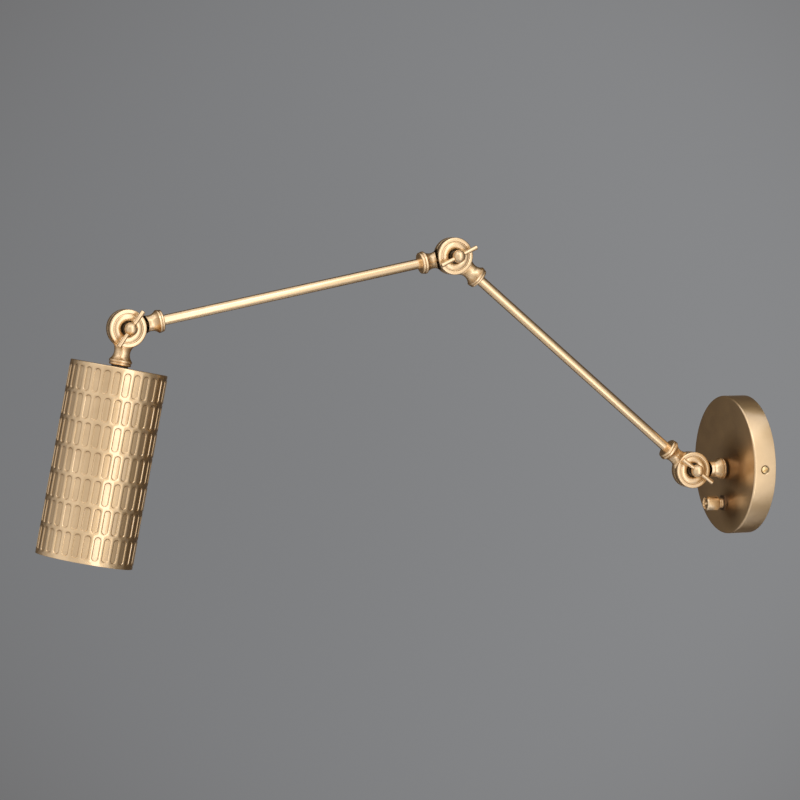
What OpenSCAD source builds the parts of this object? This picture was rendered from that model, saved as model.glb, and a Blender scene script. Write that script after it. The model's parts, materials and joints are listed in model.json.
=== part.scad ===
// Brass wall lamp with two tube arms, three clamped knuckle joints and a fluted tube shade.
// The origin is the middle of the wall plate on the wall. +X runs into the wall, so the
// lamp reaches out along -X, and +Z is up. The three joints turn about axes along Y.
// A heading is an angle in the XZ plane, measured from +X towards +Z.

/* [Wall plate] */
// Outer diameter of the wall plate
plate_d = 120; // [110:1:160]
// Depth of the plate, from the wall to its front face
plate_depth = 20; // [19:0.5:30]
// Thickness of the spun brass sheet
plate_wall = 1.5; // [1.2:0.1:2]
// Radius of the rounded front edge
plate_edge_r = 1.5; // [0.5:0.1:3]
// How far the stem sits below the middle of the plate
stem_drop = 3.5; // [0:0.5:6]

/* [Arms] */
// Distance between the joint axes of each arm
arm_len = 290; // [200:5:400]
// Outer diameter of the arm tubes
tube_d = 8.5; // [7:0.1:10]
// Wall thickness of the arm tubes
tube_wall = 1; // [0.8:0.1:1.5]
// Angle of the lower arm above the horizontal
lower_arm_rise = 40.2; // [20:0.1:80]
// Angle at which the upper arm falls towards the shade
upper_arm_fall = 11.2; // [-30:0.1:60]

/* [Knuckles] */
// Outer radius of the round cheeks
knuckle_r = 15.7; // [15:0.1:18]
// Distance from the joint's middle plane to the outer face of a cheek
cheek_face = 6.25; // [5.5:0.05:7]
// Distance from the joint's middle plane to the mating face of a cheek
mating_face = 0.4; // [0.3:0.05:0.8]
// Distance from the joint axis to the end of the collar
neck_len = 30.6; // [29:0.1:36]
// Radius of the neck at its waist
neck_r = 6.6; // [6.2:0.1:7]
// Distance from the joint axis to the waist of the neck
waist_at = 19.8; // [19:0.1:21]
// Half depth of the neck where it leaves the cheek
neck_root = 5.7; // [5:0.05:5.75]
// Gap between a cheek's edge and the neck of the other half
neck_gap = 2; // [1:0.1:3]
// Outer radius of the first collar ring
collar_r = 9.5; // [9:0.1:11]
// Outer radius of the end collar ring
end_ring_r = 9.1; // [8.5:0.1:10]
// Width of the first collar ring
collar_w = 1.8; // [1:0.1:3]
// Width of the end collar ring
end_ring_w = 1.9; // [1:0.1:3]
// Width of the groove between the two rings
collar_groove_w = 0.5; // [0.3:0.1:1]
// Radius at the bottom of that groove
collar_groove_r = 8.6; // [8:0.1:8.8]
// Bevel on the edges of the rings
band_bevel = 0.4; // [0.1:0.05:0.5]
// Depth of the socket for a tube or a nipple
socket_depth = 10; // [6:0.5:12]
// Diameter of the cable bore through a neck
cable_bore_d = 5; // [3:0.5:5.4]

/* [Knuckle face] */
// Radius of the well round the clamp screw
well_r = 6.2; // [6:0.05:6.4]
// Distance from the middle plane to the floor of the well
well_floor = 2.6; // [2.2:0.1:3]
// Radius of the middle of the rounded ring on the face
face_ring_mid = 8.9; // [8.8:0.1:9.1]
// Section radius of the rounded ring
face_ring_r = 6; // [5:0.1:8]
// Outer radius of the groove between the rounded ring and the flat rim
face_groove_r = 12.4; // [12:0.1:12.8]
// Depth of the flat floor of that groove
face_groove_depth = 0.6; // [0.3:0.05:0.8]
// Bevel on the edges of the cheek
cheek_bevel = 0.5; // [0.2:0.1:1]
// Inner radius of the cable channel in the mating face
channel_in_r = 7; // [6.8:0.1:7.4]
// Outer radius of the cable channel in the mating face
channel_out_r = 11.4; // [10:0.1:11.8]
// Depth of the cable channel
channel_depth = 2; // [1:0.1:2.4]

/* [Clamp screws] */
// Diameter of the screw's threaded shank
screw_d = 6; // [5:0.5:6]
// Radius of the ball that holds the tommy bar
ball_r = 5.4; // [4.5:0.1:6]
// Distance from the middle plane to the middle of the ball
ball_reach = 13.9; // [13:0.1:17]
// Angle below its widest circle at which the ball meets the screw's flare
flare_meets = 30; // [20:1:50]
// Radius of the screw's neck at the mouth of the well
screw_neck_r = 3.4; // [3.1:0.1:4]
// Radius of the screw's shoulder on the floor of the well
shoulder_r = 4.6; // [4:0.1:5.4]
// Thickness of the screw's shoulder
shoulder_t = 1.6; // [1:0.1:2]
// Diameter of the tommy bar
tommy_d = 3.3; // [2.5:0.1:4]
// How much thicker the bar's flared ends are
tommy_flare = 0.5; // [0.1:0.1:1]
// Length of the flare at each end
tommy_flare_len = 9; // [4:0.5:10]
// Bevel on the ends of the bar
tommy_bevel = 0.3; // [0.1:0.05:0.5]
// Length of the tommy bar
tommy_len = 35; // [28:0.5:45]
// Heading of the tommy bar at the wall joint
base_tommy_heading = -36.6; // [-90:0.1:90]
// Heading of the tommy bar at the elbow
elbow_tommy_heading = 25.6; // [-90:0.1:90]
// Heading of the tommy bar at the shade joint
shade_tommy_heading = 54; // [-90:0.1:90]
// Width across the flats of the cap nut
cap_nut_flats = 10; // [9:0.5:10.5]
// Height of the hexagon of the cap nut
cap_nut_hex_h = 4.6; // [4:0.1:6]
// Radius of the dome of the cap nut
cap_nut_dome_r = 4.4; // [3.8:0.1:4.6]
// Outer radius of the friction washer
washer_out_r = 15.1; // [14:0.1:15.3]
// Inner radius of the friction washer
washer_in_r = 12; // [11.8:0.1:13]

/* [Shade] */
// Outer diameter of the shade
shade_d = 80; // [70:1:110]
// Length of the shade
shade_len = 160; // [155:1:200]
// Thickness of the shade's sheet
shade_wall = 1.2; // [1:0.1:2]
// Radius of the shade's top edge
shade_edge_r = 0.8; // [0.3:0.1:1.2]
// Lean of the shade from the vertical
shade_lean = 11.1; // [0:0.1:40]
// Number of rows of flutes
flute_rows = 7; // [1:1:7]
// Number of flutes in a row
flutes_round = 30; // [12:2:32]
// Length of a flute
flute_len = 20; // [8:0.5:20]
// Width of a flute
flute_w = 6; // [3:0.1:6.2]
// Depth of the flat floor of a flute
flute_depth = 0.5; // [0.3:0.05:0.6]
// Gap between the rows of flutes
row_gap = 2.2; // [1:0.1:2.4]
// Turn of the first row of flutes from the front of the shade
flute_phase = 4; // [0:0.5:12]

/* [Stem and shade fixings] */
// Diameter of the threaded nipples
nipple_d = 10; // [8:0.5:10]
// Bore of the threaded nipples
nipple_bore = 7; // [5:0.5:7]
// Thickness of the dark spacers at the plate and at the shade
spacer_t = 1.4; // [1:0.1:3]
// Outer radius of the spacers
spacer_r = 7; // [6.5:0.1:8]
// Width across the flats of the locknuts
locknut_flats = 14; // [13:0.5:16]
// Thickness of the locknuts
locknut_t = 3; // [2:0.5:4]
// Thread that stands out past the locknut behind the plate
nipple_spare = 1.5; // [0.5:0.1:3]

/* [Lampholder] */
// Diameter of the socket for the lamp
socket_d = 27; // [26.5:0.1:28]
// Depth of the socket
lamp_socket_depth = 30; // [24:1:34]
// Outer radius of the holder
holder_r = 17.5; // [16.5:0.1:20]
// Length of the holder below its cap
holder_len = 38; // [36:1:44]
// Length of the holder's cap
holder_cap_len = 18; // [15:1:24]
// Radius of the flat top of the cap
cap_top_r = 8; // [7.5:0.5:10]
// How much narrower the cap is than the holder, in radius
cap_step = 1; // [0.5:0.1:2]
// Thickness of the cap's wall
cap_wall = 3; // [2:0.5:4]
// Height of the grip ring where the holder meets the cap
grip_ring_h = 4; // [3:0.5:6]
// How far the grip ring stands out
grip_ring_t = 1; // [0.5:0.1:1.5]

/* [Dimmer] */
// Distance of the knob below the middle of the plate
knob_drop = 33.5; // [30:0.5:38]
// Diameter of the knob's barrel
knob_d = 13.2; // [12:0.1:18]
// Length of the knob's barrel
knob_len = 11.3; // [9:0.1:16]
// Radius of the knob's neck
knob_neck_r = 4.6; // [4.5:0.1:6]
// Length of the knob's neck
knob_neck_len = 4.7; // [2.5:0.1:6]
// Bevel on the knob's front edge
knob_bevel = 1; // [0.4:0.1:1.5]
// Rounding of the knob's back edge
knob_back_r = 1.5; // [0.5:0.1:1.8]
// Width of the knob's front rim
knob_rim_w = 1.6; // [1.2:0.1:2.5]
// Depth of the dish in the knob's front
knob_dish = 1; // [0.5:0.1:2]
// Radius of the bead in the middle of the dish
knob_bead_r = 1.2; // [0.6:0.1:1.5]
// Radius of the two grooves round the knob's neck
neck_groove_r = 0.4; // [0.2:0.05:0.5]
// Diameter of the dimmer's bushing
bushing_d = 9; // [8.5:0.5:10]
// Thickness of the nut on the bushing
bushing_nut_t = 1.7; // [1.2:0.1:2]
// Width across the flats of that nut
bushing_nut_flats = 13; // [12:0.5:14]
// Diameter of the dimmer's shaft
shaft_d = 6; // [4:0.5:6]
// Width of the dimmer's case
dimmer_w = 26; // [20:1:34]
// Height of the dimmer's case
dimmer_h = 22; // [18:1:24]
// Depth of the dimmer's case
dimmer_t = 12; // [9:0.5:13]

/* [Wall bracket] */
// Thickness of the bracket's steel
bracket_t = 2; // [1.5:0.1:2.5]
// Width of the strap
strap_w = 24; // [20:1:26]
// Spacing of the two wall screw holes
wall_hole_spacing = 70; // [60:1:74]
// Diameter of the wall screw holes
wall_hole_d = 5; // [4:0.5:6]
// Diameter of the cable entry
cable_entry_d = 14; // [10:1:16]
// Width of the bracket's upright and side tabs
tab_w = 12; // [10:1:14]
// Depth of the side tabs
tab_depth = 16; // [14:0.5:16.5]
// Distance from the wall to the side screws
side_screw_depth = 10; // [9:0.5:11]
// Thread diameter of the side screws
side_screw_d = 4; // [3:0.5:4]
// Head diameter of the side screws
side_head_d = 6.6; // [6:0.1:7]
// Diameter of the dimple round a side screw
dimple_d = 8.6; // [8:0.1:9]
// Width of the slot in a side screw
side_slot_w = 0.9; // [0.6:0.1:1.2]
// Depth of that slot
side_slot_depth = 0.6; // [0.4:0.1:0.9]
// How far a side screw stands out behind its tab
side_screw_spare = 2.6; // [1:0.1:4]
// Distance of the earth screw from the cable entry's middle
earth_y = 20; // [17:0.5:24]
// Thread diameter of the earth screw
earth_screw_d = 4; // [3:0.5:5]
// Head diameter of the earth screw
earth_head_d = 8; // [6:0.5:8]
// Thickness of the earth screw's head
earth_head_t = 2.4; // [1.6:0.1:3]
// Width of the slot in the earth screw
earth_slot_w = 1; // [0.8:0.1:1.4]

/* [Terminal block] */
// Width of the terminal block
terminal_w = 30; // [28:1:36]
// Height of the terminal block
terminal_h = 16; // [14:1:20]
// Depth of the terminal block
terminal_t = 12; // [10:0.5:13]
// Distance of the block above the middle of the plate
terminal_z = 30; // [26:1:36]
// Number of wire ways through the block
terminal_ways = 3; // [2:1:3]
// Distance between the wire ways
terminal_pitch = 9; // [8:0.5:10]
// Diameter of a wire way
wire_way_d = 4; // [3:0.5:5]
// Diameter of the wells over the block's screws
screw_well_d = 4.5; // [3:0.5:6]

/* [Clearances] */
// Radial clearance of a turning shaft in its hole
running_fit = 0.05; // [0.01:0.01:0.1]
// Radial clearance of a tube or a bar in its socket
socket_fit = 0.02; // [0.01:0.01:0.05]
// Gap between faces that turn on each other
turning_gap = 0.05; // [0.02:0.01:0.1]
// Gap between the knob and the nut behind it
knob_gap = 0.3; // [0.3:0.1:0.8]
// Gap between the side tabs and the rim of the plate
tab_gap = 0.6; // [0.4:0.1:0.9]

/* [Hidden] */
$fn = 96;
// how far a cutter passes the face that it opens
over = 1;
// the hexagon's corner radius is its flat width times this
hex_corner = 0.5 / cos(30);
plate_r = plate_d / 2;
plate_face_x = -plate_depth;
tube_r = tube_d / 2;
screw_r = screw_d / 2;
shade_r = shade_d / 2;
shaft_r = shaft_d / 2;
bushing_r = bushing_d / 2;
nipple_r = nipple_d / 2;

// the three joint axes cross the XZ plane here
base_joint = [plate_face_x - spacer_t - neck_len, 0, -stem_drop];
lower_heading = 180 - lower_arm_rise;
upper_heading = 180 + upper_arm_fall;
shade_heading = -90 - shade_lean;
elbow_joint = base_joint + arm_len * [cos(lower_heading), 0, sin(lower_heading)];
shade_joint = elbow_joint + arm_len * [cos(upper_heading), 0, sin(upper_heading)];

// along a neck, from its joint axis
collar_start = neck_len - end_ring_w - collar_groove_w - collar_w;
// the waist is an arc that meets the collar's radius at its start
waist_r = (pow(collar_start - waist_at, 2) / (collar_r - neck_r) + collar_r - neck_r) / 2;
socket_floor = neck_len - socket_depth;
cable_start = (channel_in_r + channel_out_r) / 2;

// across a joint, from its middle plane
face_ring_z = cheek_face - face_ring_r;
cap_nut_seat = well_floor;
cap_nut_dome_z = cap_nut_seat + cap_nut_hex_h;
screw_tip = cap_nut_dome_z + cap_nut_dome_r / 3;

// along the shade's axis, from the shade joint
shade_top = neck_len + spacer_t;
shade_end = shade_top + shade_len;
shade_nut_start = shade_top + shade_wall;
holder_start = shade_nut_start + locknut_t;
holder_body_start = holder_start + holder_cap_len;
holder_end = holder_body_start + holder_len;
nipple_grip = holder_cap_len / 3;
row_pitch = flute_len + row_gap;
first_row = shade_top + (shade_len - flute_rows * row_pitch + row_gap + flute_len) / 2;

// out from the wall
plate_inside = plate_depth - plate_wall;
knob_back = plate_depth + bushing_nut_t + knob_gap;
knob_shoulder = knob_back + knob_neck_len;
knob_front = knob_shoulder + knob_len;
shaft_grip = knob_neck_len + knob_len / 2;
tab_out = plate_r - plate_wall - tab_gap;

// out from the middle of the plate: a dimple is a cone through the rim, which a side
// screw's head follows until the head is full
dimple_floor = plate_r - plate_wall;
dimple_slope = (dimple_d - side_screw_d) / 2 / plate_wall;
side_dome_z = dimple_floor + (side_head_d - side_screw_d) / 2 / dimple_slope;
side_dome_h = plate_r - side_dome_z;
side_dome_r = (pow(side_head_d / 2, 2) + pow(side_dome_h, 2)) / (2 * side_dome_h);
side_shank = tab_gap + bracket_t + side_screw_spare;

// Turns local +Z to point out from the wall
module out_from_wall() {
    rotate([0, -90, 0]) children();
}

// Turns local +X to a heading in the XZ plane
module heading(angle) {
    rotate([0, -angle, 0]) children();
}

// Turns local +Z to the front of a joint, towards -Y
module to_front() {
    rotate([90, 0, 0]) children();
}

// Turns local +Z to the back of a joint, towards +Y
module to_back() {
    rotate([-90, 0, 0]) children();
}

// Turns local +Z to run along local +X
module along_x() {
    rotate([0, 90, 0]) children();
}

module hexagon(flats, height) {
    cylinder(r = flats * hex_corner, h = height, $fn = 6);
}

// Ring between two radii, standing on z = 0
module ring(outer, inner, height) {
    difference() {
        cylinder(r = outer, h = height);
        translate([0, 0, -over]) cylinder(r = inner, h = height + 2 * over);
    }
}

// Half section of a cheek: x is the radius and y the distance from the middle plane
module cheek_section() {
    difference() {
        translate([0, mating_face]) square([knuckle_r, cheek_face - mating_face]);
        // well for the clamp screw or the cap nut
        translate([0, well_floor]) square([well_r, cheek_face]);
        // hole for the screw
        square([screw_r + running_fit, cheek_face]);
        // cable channel in the mating face
        translate([channel_in_r, 0])
            square([channel_out_r - channel_in_r, mating_face + channel_depth]);
        // the rounded ring and the flat-floored groove outside it
        difference() {
            translate([well_r - over, cheek_face - face_groove_depth])
                square([face_groove_r - well_r + over, face_groove_depth + over]);
            translate([face_ring_mid, face_ring_z]) circle(r = face_ring_r);
        }
        // outer bevel
        translate([knuckle_r, cheek_face]) rotate(45)
            square(cheek_bevel * sqrt(2), center = true);
    }
}

// Half section of a ring with bevelled edges: x is the radius and y runs along the neck
module collar_band(radius, start, width) {
    polygon([
        [0, start],
        [radius - band_bevel, start],
        [radius, start + band_bevel],
        [radius, start + width - band_bevel],
        [radius - band_bevel, start + width],
        [0, start + width]
    ]);
}

// Half section of a neck: x is the radius and y the distance from the joint axis
module neck_section() {
    difference() {
        square([collar_r, collar_start]);
        translate([neck_r + waist_r, waist_at]) circle(r = waist_r, $fn = 192);
    }
    translate([0, collar_start]) square([collar_groove_r, neck_len - collar_start]);
    collar_band(collar_r, collar_start, collar_w);
    collar_band(end_ring_r, neck_len - end_ring_w, end_ring_w);
}

// Half section of the cut that thins a neck between its waist and its root
module neck_relief() {
    polygon([
        [0, neck_root],
        [knuckle_r - cheek_bevel, neck_root],
        [waist_at, neck_r],
        [waist_at, collar_r + over],
        [0, collar_r + over]
    ]);
}

// One half of a joint, cast with its neck and collar. The joint axis is local Z, the
// outer face looks to local +Z and the neck runs along local +X.
module knuckle_half(bore_d) {
    difference() {
        union() {
            rotate_extrude() cheek_section();
            difference() {
                along_x() rotate_extrude() neck_section();
                // the neck starts inside the flat rim of its own cheek
                translate([0, 0, -collar_r])
                    cylinder(r = knuckle_r - cheek_bevel, h = 2 * collar_r);
                // its front and back fall away from the waist to clear the cheek's bevel
                for (side = [0, 1]) mirror([0, 0, side]) rotate_extrude() neck_relief();
                // room for the cheek of the other half
                translate([0, 0, -collar_r])
                    cylinder(r = knuckle_r + neck_gap, h = collar_r + mating_face);
            }
        }
        translate([cable_start, 0, 0]) along_x() cylinder(d = cable_bore_d, h = neck_len);
        translate([socket_floor, 0, 0]) along_x()
            cylinder(r = bore_d / 2 + socket_fit, h = socket_depth + over);
    }
}

// Flat washer that fills the gap between the two cheeks
module friction_washer() {
    translate([0, 0, turning_gap - mating_face])
        ring(washer_out_r, washer_in_r, 2 * mating_face - turning_gap);
}

// Hexagon nut with a domed, closed end
module cap_nut() {
    difference() {
        translate([0, 0, cap_nut_seat]) {
            intersection() {
                hexagon(cap_nut_flats, cap_nut_hex_h);
                // turned bevel on the corners
                cylinder(r1 = cap_nut_flats * hex_corner + cap_nut_hex_h / 2,
                    r2 = cap_nut_flats / 2, h = cap_nut_hex_h);
            }
            translate([0, 0, cap_nut_hex_h]) intersection() {
                sphere(r = cap_nut_dome_r);
                translate([0, 0, -over]) cylinder(r = cap_nut_dome_r, h = cap_nut_dome_r + over);
            }
        }
        cylinder(r = screw_r + running_fit, h = screw_tip + turning_gap);
    }
}

// Ball-headed screw, with a cross hole along local X for its tommy bar
module clamp_screw() {
    difference() {
        union() {
            translate([0, 0, -screw_tip]) cylinder(r = screw_r, h = screw_tip + ball_reach);
            translate([0, 0, well_floor + turning_gap]) cylinder(r = shoulder_r, h = shoulder_t);
            translate([0, 0, well_floor]) cylinder(r = screw_neck_r, h = ball_reach - well_floor);
            // flare from the neck up to the ball
            translate([0, 0, cheek_face]) cylinder(r1 = screw_neck_r,
                r2 = ball_r * cos(flare_meets), h = ball_reach - ball_r * sin(flare_meets) - cheek_face);
            translate([0, 0, ball_reach]) sphere(r = ball_r);
        }
        translate([-ball_r - over, 0, ball_reach]) along_x()
            cylinder(r = tommy_d / 2 + socket_fit, h = 2 * (ball_r + over));
    }
}

// Half section of a tommy bar: x is the radius and y runs along the bar from its middle
module tommy_section() {
    bar_r = tommy_d / 2;
    end_r = bar_r + tommy_flare / 2;
    half_len = tommy_len / 2;
    polygon([
        [0, -half_len],
        [end_r - tommy_bevel, -half_len],
        [end_r, tommy_bevel - half_len],
        [bar_r, tommy_flare_len - half_len],
        [bar_r, half_len - tommy_flare_len],
        [end_r, half_len - tommy_bevel],
        [end_r - tommy_bevel, half_len],
        [0, half_len]
    ]);
}

// Round bar through the ball, its ends flared so that it can't slide out
module tommy_bar() {
    translate([0, 0, ball_reach]) along_x() rotate_extrude() tommy_section();
}

module arm_tube() {
    translate([socket_floor, 0, 0]) along_x()
        ring(tube_r, tube_r - tube_wall, arm_len - 2 * socket_floor);
}

// Threaded tube from the floor of a collar's socket to a distance from the joint axis
module nipple(reach) {
    translate([socket_floor, 0, 0]) along_x()
        ring(nipple_r - socket_fit, nipple_bore / 2, reach - socket_floor);
}

module spacer() {
    translate([neck_len, 0, 0]) along_x() ring(spacer_r, nipple_r + socket_fit, spacer_t);
}

module locknut() {
    difference() {
        hexagon(locknut_flats, locknut_t);
        translate([0, 0, -over]) cylinder(r = nipple_r, h = locknut_t + 2 * over);
    }
}

// Obround cutter with a flat floor, its length along local Z and its depth along -Y
module flute() {
    straight = flute_len - flute_w;
    rotate([90, 0, 0]) linear_extrude(flute_depth + over) {
        square([flute_w, straight], center = true);
        for (end = [-1, 1]) translate([0, end * straight / 2]) circle(d = flute_w, $fn = 48);
    }
}

// Rows of flutes round the shade, each row turned by half a pitch from the last
module flutes() {
    for (row = [0 : flute_rows - 1], i = [0 : flutes_round - 1])
        rotate([0, 0, flute_phase + (i + row / 2) * 360 / flutes_round])
            translate([0, flute_depth - shade_r, first_row + row * row_pitch]) flute();
}

// Half section of the shade: x is the radius and y the distance from the shade joint
module shade_section() {
    difference() {
        translate([0, shade_top]) square([shade_r, shade_len]);
        translate([-over, shade_top + shade_wall])
            square([shade_r - shade_wall + over, shade_len]);
        translate([-over, shade_top - over])
            square([nipple_r + socket_fit + over, shade_wall + 2 * over]);
        // rounded top edge
        difference() {
            translate([shade_r - shade_edge_r, shade_top - over])
                square([shade_edge_r + over, shade_edge_r + over]);
            translate([shade_r - shade_edge_r, shade_top + shade_edge_r])
                circle(r = shade_edge_r, $fn = 32);
        }
    }
}

// Sets its children round the middle of the plate for each side screw, local +Z outwards
module on_both_sides() {
    for (turn = [0, 180]) translate([-side_screw_depth, 0, 0]) rotate([0, 0, turn]) to_front()
        children();
}

module wall_plate() color("#5a4636") {
    difference() {
        out_from_wall() rotate_extrude() difference() {
            square([plate_r, plate_depth]);
            translate([-over, -over]) square([plate_r - plate_wall + over, plate_inside + over]);
            // rounded front edge
            difference() {
                translate([plate_r - plate_edge_r, plate_depth - plate_edge_r])
                    square(plate_edge_r + over);
                translate([plate_r - plate_edge_r, plate_depth - plate_edge_r])
                    circle(r = plate_edge_r, $fn = 48);
            }
        }
        // hole for the stem's nipple
        translate([-plate_depth - over, 0, -stem_drop]) along_x()
            cylinder(r = nipple_r + socket_fit, h = plate_wall + 2 * over);
        // hole for the dimmer's bushing
        translate([-plate_depth - over, 0, -knob_drop]) along_x()
            cylinder(r = bushing_r + socket_fit, h = plate_wall + 2 * over);
        // dimples and holes for the side screws
        on_both_sides() {
            translate([0, 0, dimple_floor - over])
                cylinder(r = side_screw_d / 2 + socket_fit, h = plate_wall + 2 * over);
            translate([0, 0, dimple_floor]) cylinder(r1 = side_screw_d / 2,
                r2 = dimple_d / 2 + dimple_slope * over, h = plate_wall + over);
        }
    }
}

module wall_bracket() color("silver") {
    upright_h = terminal_z + terminal_h / 2;
    difference() {
        union() {
            // strap across the plate, its ends rounded to clear the rim
            intersection() {
                translate([-bracket_t, -tab_out, -strap_w / 2])
                    cube([bracket_t, 2 * tab_out, strap_w]);
                out_from_wall() cylinder(r = tab_out, h = bracket_t);
            }
            translate([-bracket_t, -tab_w / 2, 0]) cube([bracket_t, tab_w, upright_h]);
            for (side = [-tab_out, tab_out - bracket_t])
                translate([-tab_depth, side, -tab_w / 2]) cube([tab_depth, bracket_t, tab_w]);
        }
        out_from_wall() translate([0, 0, -over]) {
            cylinder(d = cable_entry_d, h = bracket_t + 2 * over);
            for (side = [-1, 1]) translate([0, side * wall_hole_spacing / 2, 0])
                cylinder(d = wall_hole_d, h = bracket_t + 2 * over);
            translate([0, earth_y, 0])
                cylinder(r = earth_screw_d / 2 + socket_fit, h = bracket_t + 2 * over);
        }
        translate([-side_screw_depth, plate_r, 0]) to_front()
            cylinder(r = side_screw_d / 2 + socket_fit, h = plate_d);
    }
}

// Slotted screw with a domed head, its axis along local Z and the middle of the plate at z = 0
module side_screw() {
    difference() {
        union() {
            translate([0, 0, dimple_floor - side_shank]) cylinder(d = side_screw_d, h = side_shank);
            translate([0, 0, dimple_floor]) cylinder(r1 = side_screw_d / 2,
                r2 = side_head_d / 2, h = side_dome_z - dimple_floor);
            intersection() {
                translate([0, 0, side_dome_z]) cylinder(d = side_head_d, h = side_dome_h);
                translate([0, 0, plate_r - side_dome_r]) sphere(r = side_dome_r);
            }
        }
        translate([-side_head_d, -side_slot_w / 2, plate_r - side_slot_depth])
            cube([2 * side_head_d, side_slot_w, side_slot_depth + over]);
    }
}

module side_screws() color("goldenrod") {
    on_both_sides() side_screw();
}

// The earth screw stands on the strap, beside the cable entry
module earth_screw() color("gold") {
    translate([0, earth_y, 0]) out_from_wall() {
        cylinder(d = earth_screw_d, h = bracket_t);
        translate([0, 0, bracket_t]) difference() {
            cylinder(d = earth_head_d, h = earth_head_t);
            translate([-earth_head_d, -earth_slot_w / 2, earth_head_t / 2])
                cube([2 * earth_head_d, earth_slot_w, earth_head_t]);
        }
    }
}

// The terminal block stands on the bracket's upright, above the stem
module terminal_block() color("ivory") {
    translate([-bracket_t, 0, terminal_z]) difference() {
        translate([-terminal_t, -terminal_w / 2, -terminal_h / 2])
            cube([terminal_t, terminal_w, terminal_h]);
        for (way = [1 : terminal_ways])
            translate([-terminal_t / 2, (way - (terminal_ways + 1) / 2) * terminal_pitch, 0]) {
                // wire way from top to bottom
                translate([0, 0, -terminal_h]) cylinder(d = wire_way_d, h = 2 * terminal_h);
                // wells over the two clamp screws
                for (row = [-1, 1]) translate([0, 0, row * terminal_h / 4]) out_from_wall()
                    cylinder(d = screw_well_d, h = terminal_t);
            }
    }
}

module base_knuckle() color("tan") {
    translate(base_joint) to_back() knuckle_half(nipple_d);
}

module base_nipple() color("goldenrod") {
    translate(base_joint) nipple(neck_len + spacer_t + plate_wall + locknut_t + nipple_spare);
}

module base_spacer() color("#2b2520") {
    translate(base_joint) spacer();
}

module base_locknut() color("silver") {
    translate([-plate_inside, 0, -stem_drop]) along_x() locknut();
}

module base_friction_washer() color("#3a3430") {
    translate(base_joint) to_back() friction_washer();
}

module base_cap_nut() color("tan") {
    translate(base_joint) to_back() cap_nut();
}

module dimmer_case() color("#222222") {
    translate([0, 0, -knob_drop]) difference() {
        union() {
            translate([-plate_inside, -dimmer_w / 2, -dimmer_h / 2])
                cube([dimmer_t, dimmer_w, dimmer_h]);
            out_from_wall() translate([0, 0, plate_inside - dimmer_t])
                cylinder(r = bushing_r, h = dimmer_t + plate_wall + bushing_nut_t);
        }
        out_from_wall() translate([0, 0, plate_inside - dimmer_t / 2])
            cylinder(r = shaft_r + running_fit, h = plate_depth);
    }
}

module dimmer_nut() color("#3a2c20") {
    translate([0, 0, -knob_drop]) out_from_wall() translate([0, 0, plate_depth]) difference() {
        hexagon(bushing_nut_flats, bushing_nut_t);
        translate([0, 0, -over]) cylinder(r = bushing_r + socket_fit, h = bushing_nut_t + 2 * over);
    }
}

module lower_arm_base_knuckle() color("burlywood") {
    translate(base_joint) heading(lower_heading) to_front() knuckle_half(tube_d);
}

module lower_arm_tube() color("peru") {
    translate(base_joint) heading(lower_heading) arm_tube();
}

module lower_arm_elbow_knuckle() color("burlywood") {
    translate(elbow_joint) heading(lower_heading + 180) to_front() knuckle_half(tube_d);
}

module upper_arm_elbow_knuckle() color("tan") {
    translate(elbow_joint) heading(upper_heading) to_back() knuckle_half(tube_d);
}

module upper_arm_tube() color("peru") {
    translate(elbow_joint) heading(upper_heading) arm_tube();
}

module upper_arm_shade_knuckle() color("tan") {
    translate(shade_joint) heading(upper_heading + 180) to_back() knuckle_half(tube_d);
}

module upper_arm_friction_washers() color("#3a3430") {
    for (joint = [elbow_joint, shade_joint]) translate(joint) to_back() friction_washer();
}

module upper_arm_cap_nuts() color("tan") {
    for (joint = [elbow_joint, shade_joint]) translate(joint) to_back() cap_nut();
}

module shade_knuckle() color("burlywood") {
    translate(shade_joint) heading(shade_heading) to_front() knuckle_half(nipple_d);
}

module shade_spacer() color("#2b2520") {
    translate(shade_joint) heading(shade_heading) spacer();
}

module shade_nipple() color("goldenrod") {
    translate(shade_joint) heading(shade_heading) nipple(holder_start + nipple_grip);
}

module shade() color("#cda56b") {
    translate(shade_joint) heading(shade_heading) along_x() difference() {
        rotate_extrude() shade_section();
        flutes();
    }
}

module shade_locknut() color("silver") {
    translate(shade_joint) heading(shade_heading) translate([shade_nut_start, 0, 0]) along_x()
        locknut();
}

// Stepped cap that screws onto the nipple and carries the holder
module lampholder_cap() color("#2a2a2a") {
    cap_r = holder_r - cap_step;
    translate(shade_joint) heading(shade_heading) translate([holder_start, 0, 0]) along_x()
        difference() {
            union() {
                cylinder(r1 = cap_top_r, r2 = cap_r, h = nipple_grip);
                translate([0, 0, nipple_grip]) cylinder(r = cap_r, h = holder_cap_len - nipple_grip);
            }
            translate([0, 0, -over]) cylinder(r = nipple_r, h = nipple_grip + over);
            translate([0, 0, nipple_grip]) cylinder(r = cap_r - cap_wall, h = holder_cap_len);
        }
}

// Open-ended holder with the lamp's socket in its lower end
module lampholder_body() color("#2a2a2a") {
    translate(shade_joint) heading(shade_heading) translate([holder_body_start, 0, 0]) along_x()
        difference() {
            union() {
                cylinder(r = holder_r, h = holder_len);
                // grip ring at the joint with the cap
                cylinder(r = holder_r + grip_ring_t, h = grip_ring_h);
            }
            translate([0, 0, holder_len - lamp_socket_depth])
                cylinder(d = socket_d, h = lamp_socket_depth + over);
        }
}

module base_clamp_screw() color("wheat") {
    translate(base_joint) heading(base_tommy_heading) to_front() clamp_screw();
}

module base_tommy_bar() color("wheat") {
    translate(base_joint) heading(base_tommy_heading) to_front() tommy_bar();
}

module elbow_clamp_screw() color("wheat") {
    translate(elbow_joint) heading(elbow_tommy_heading) to_front() clamp_screw();
}

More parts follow.
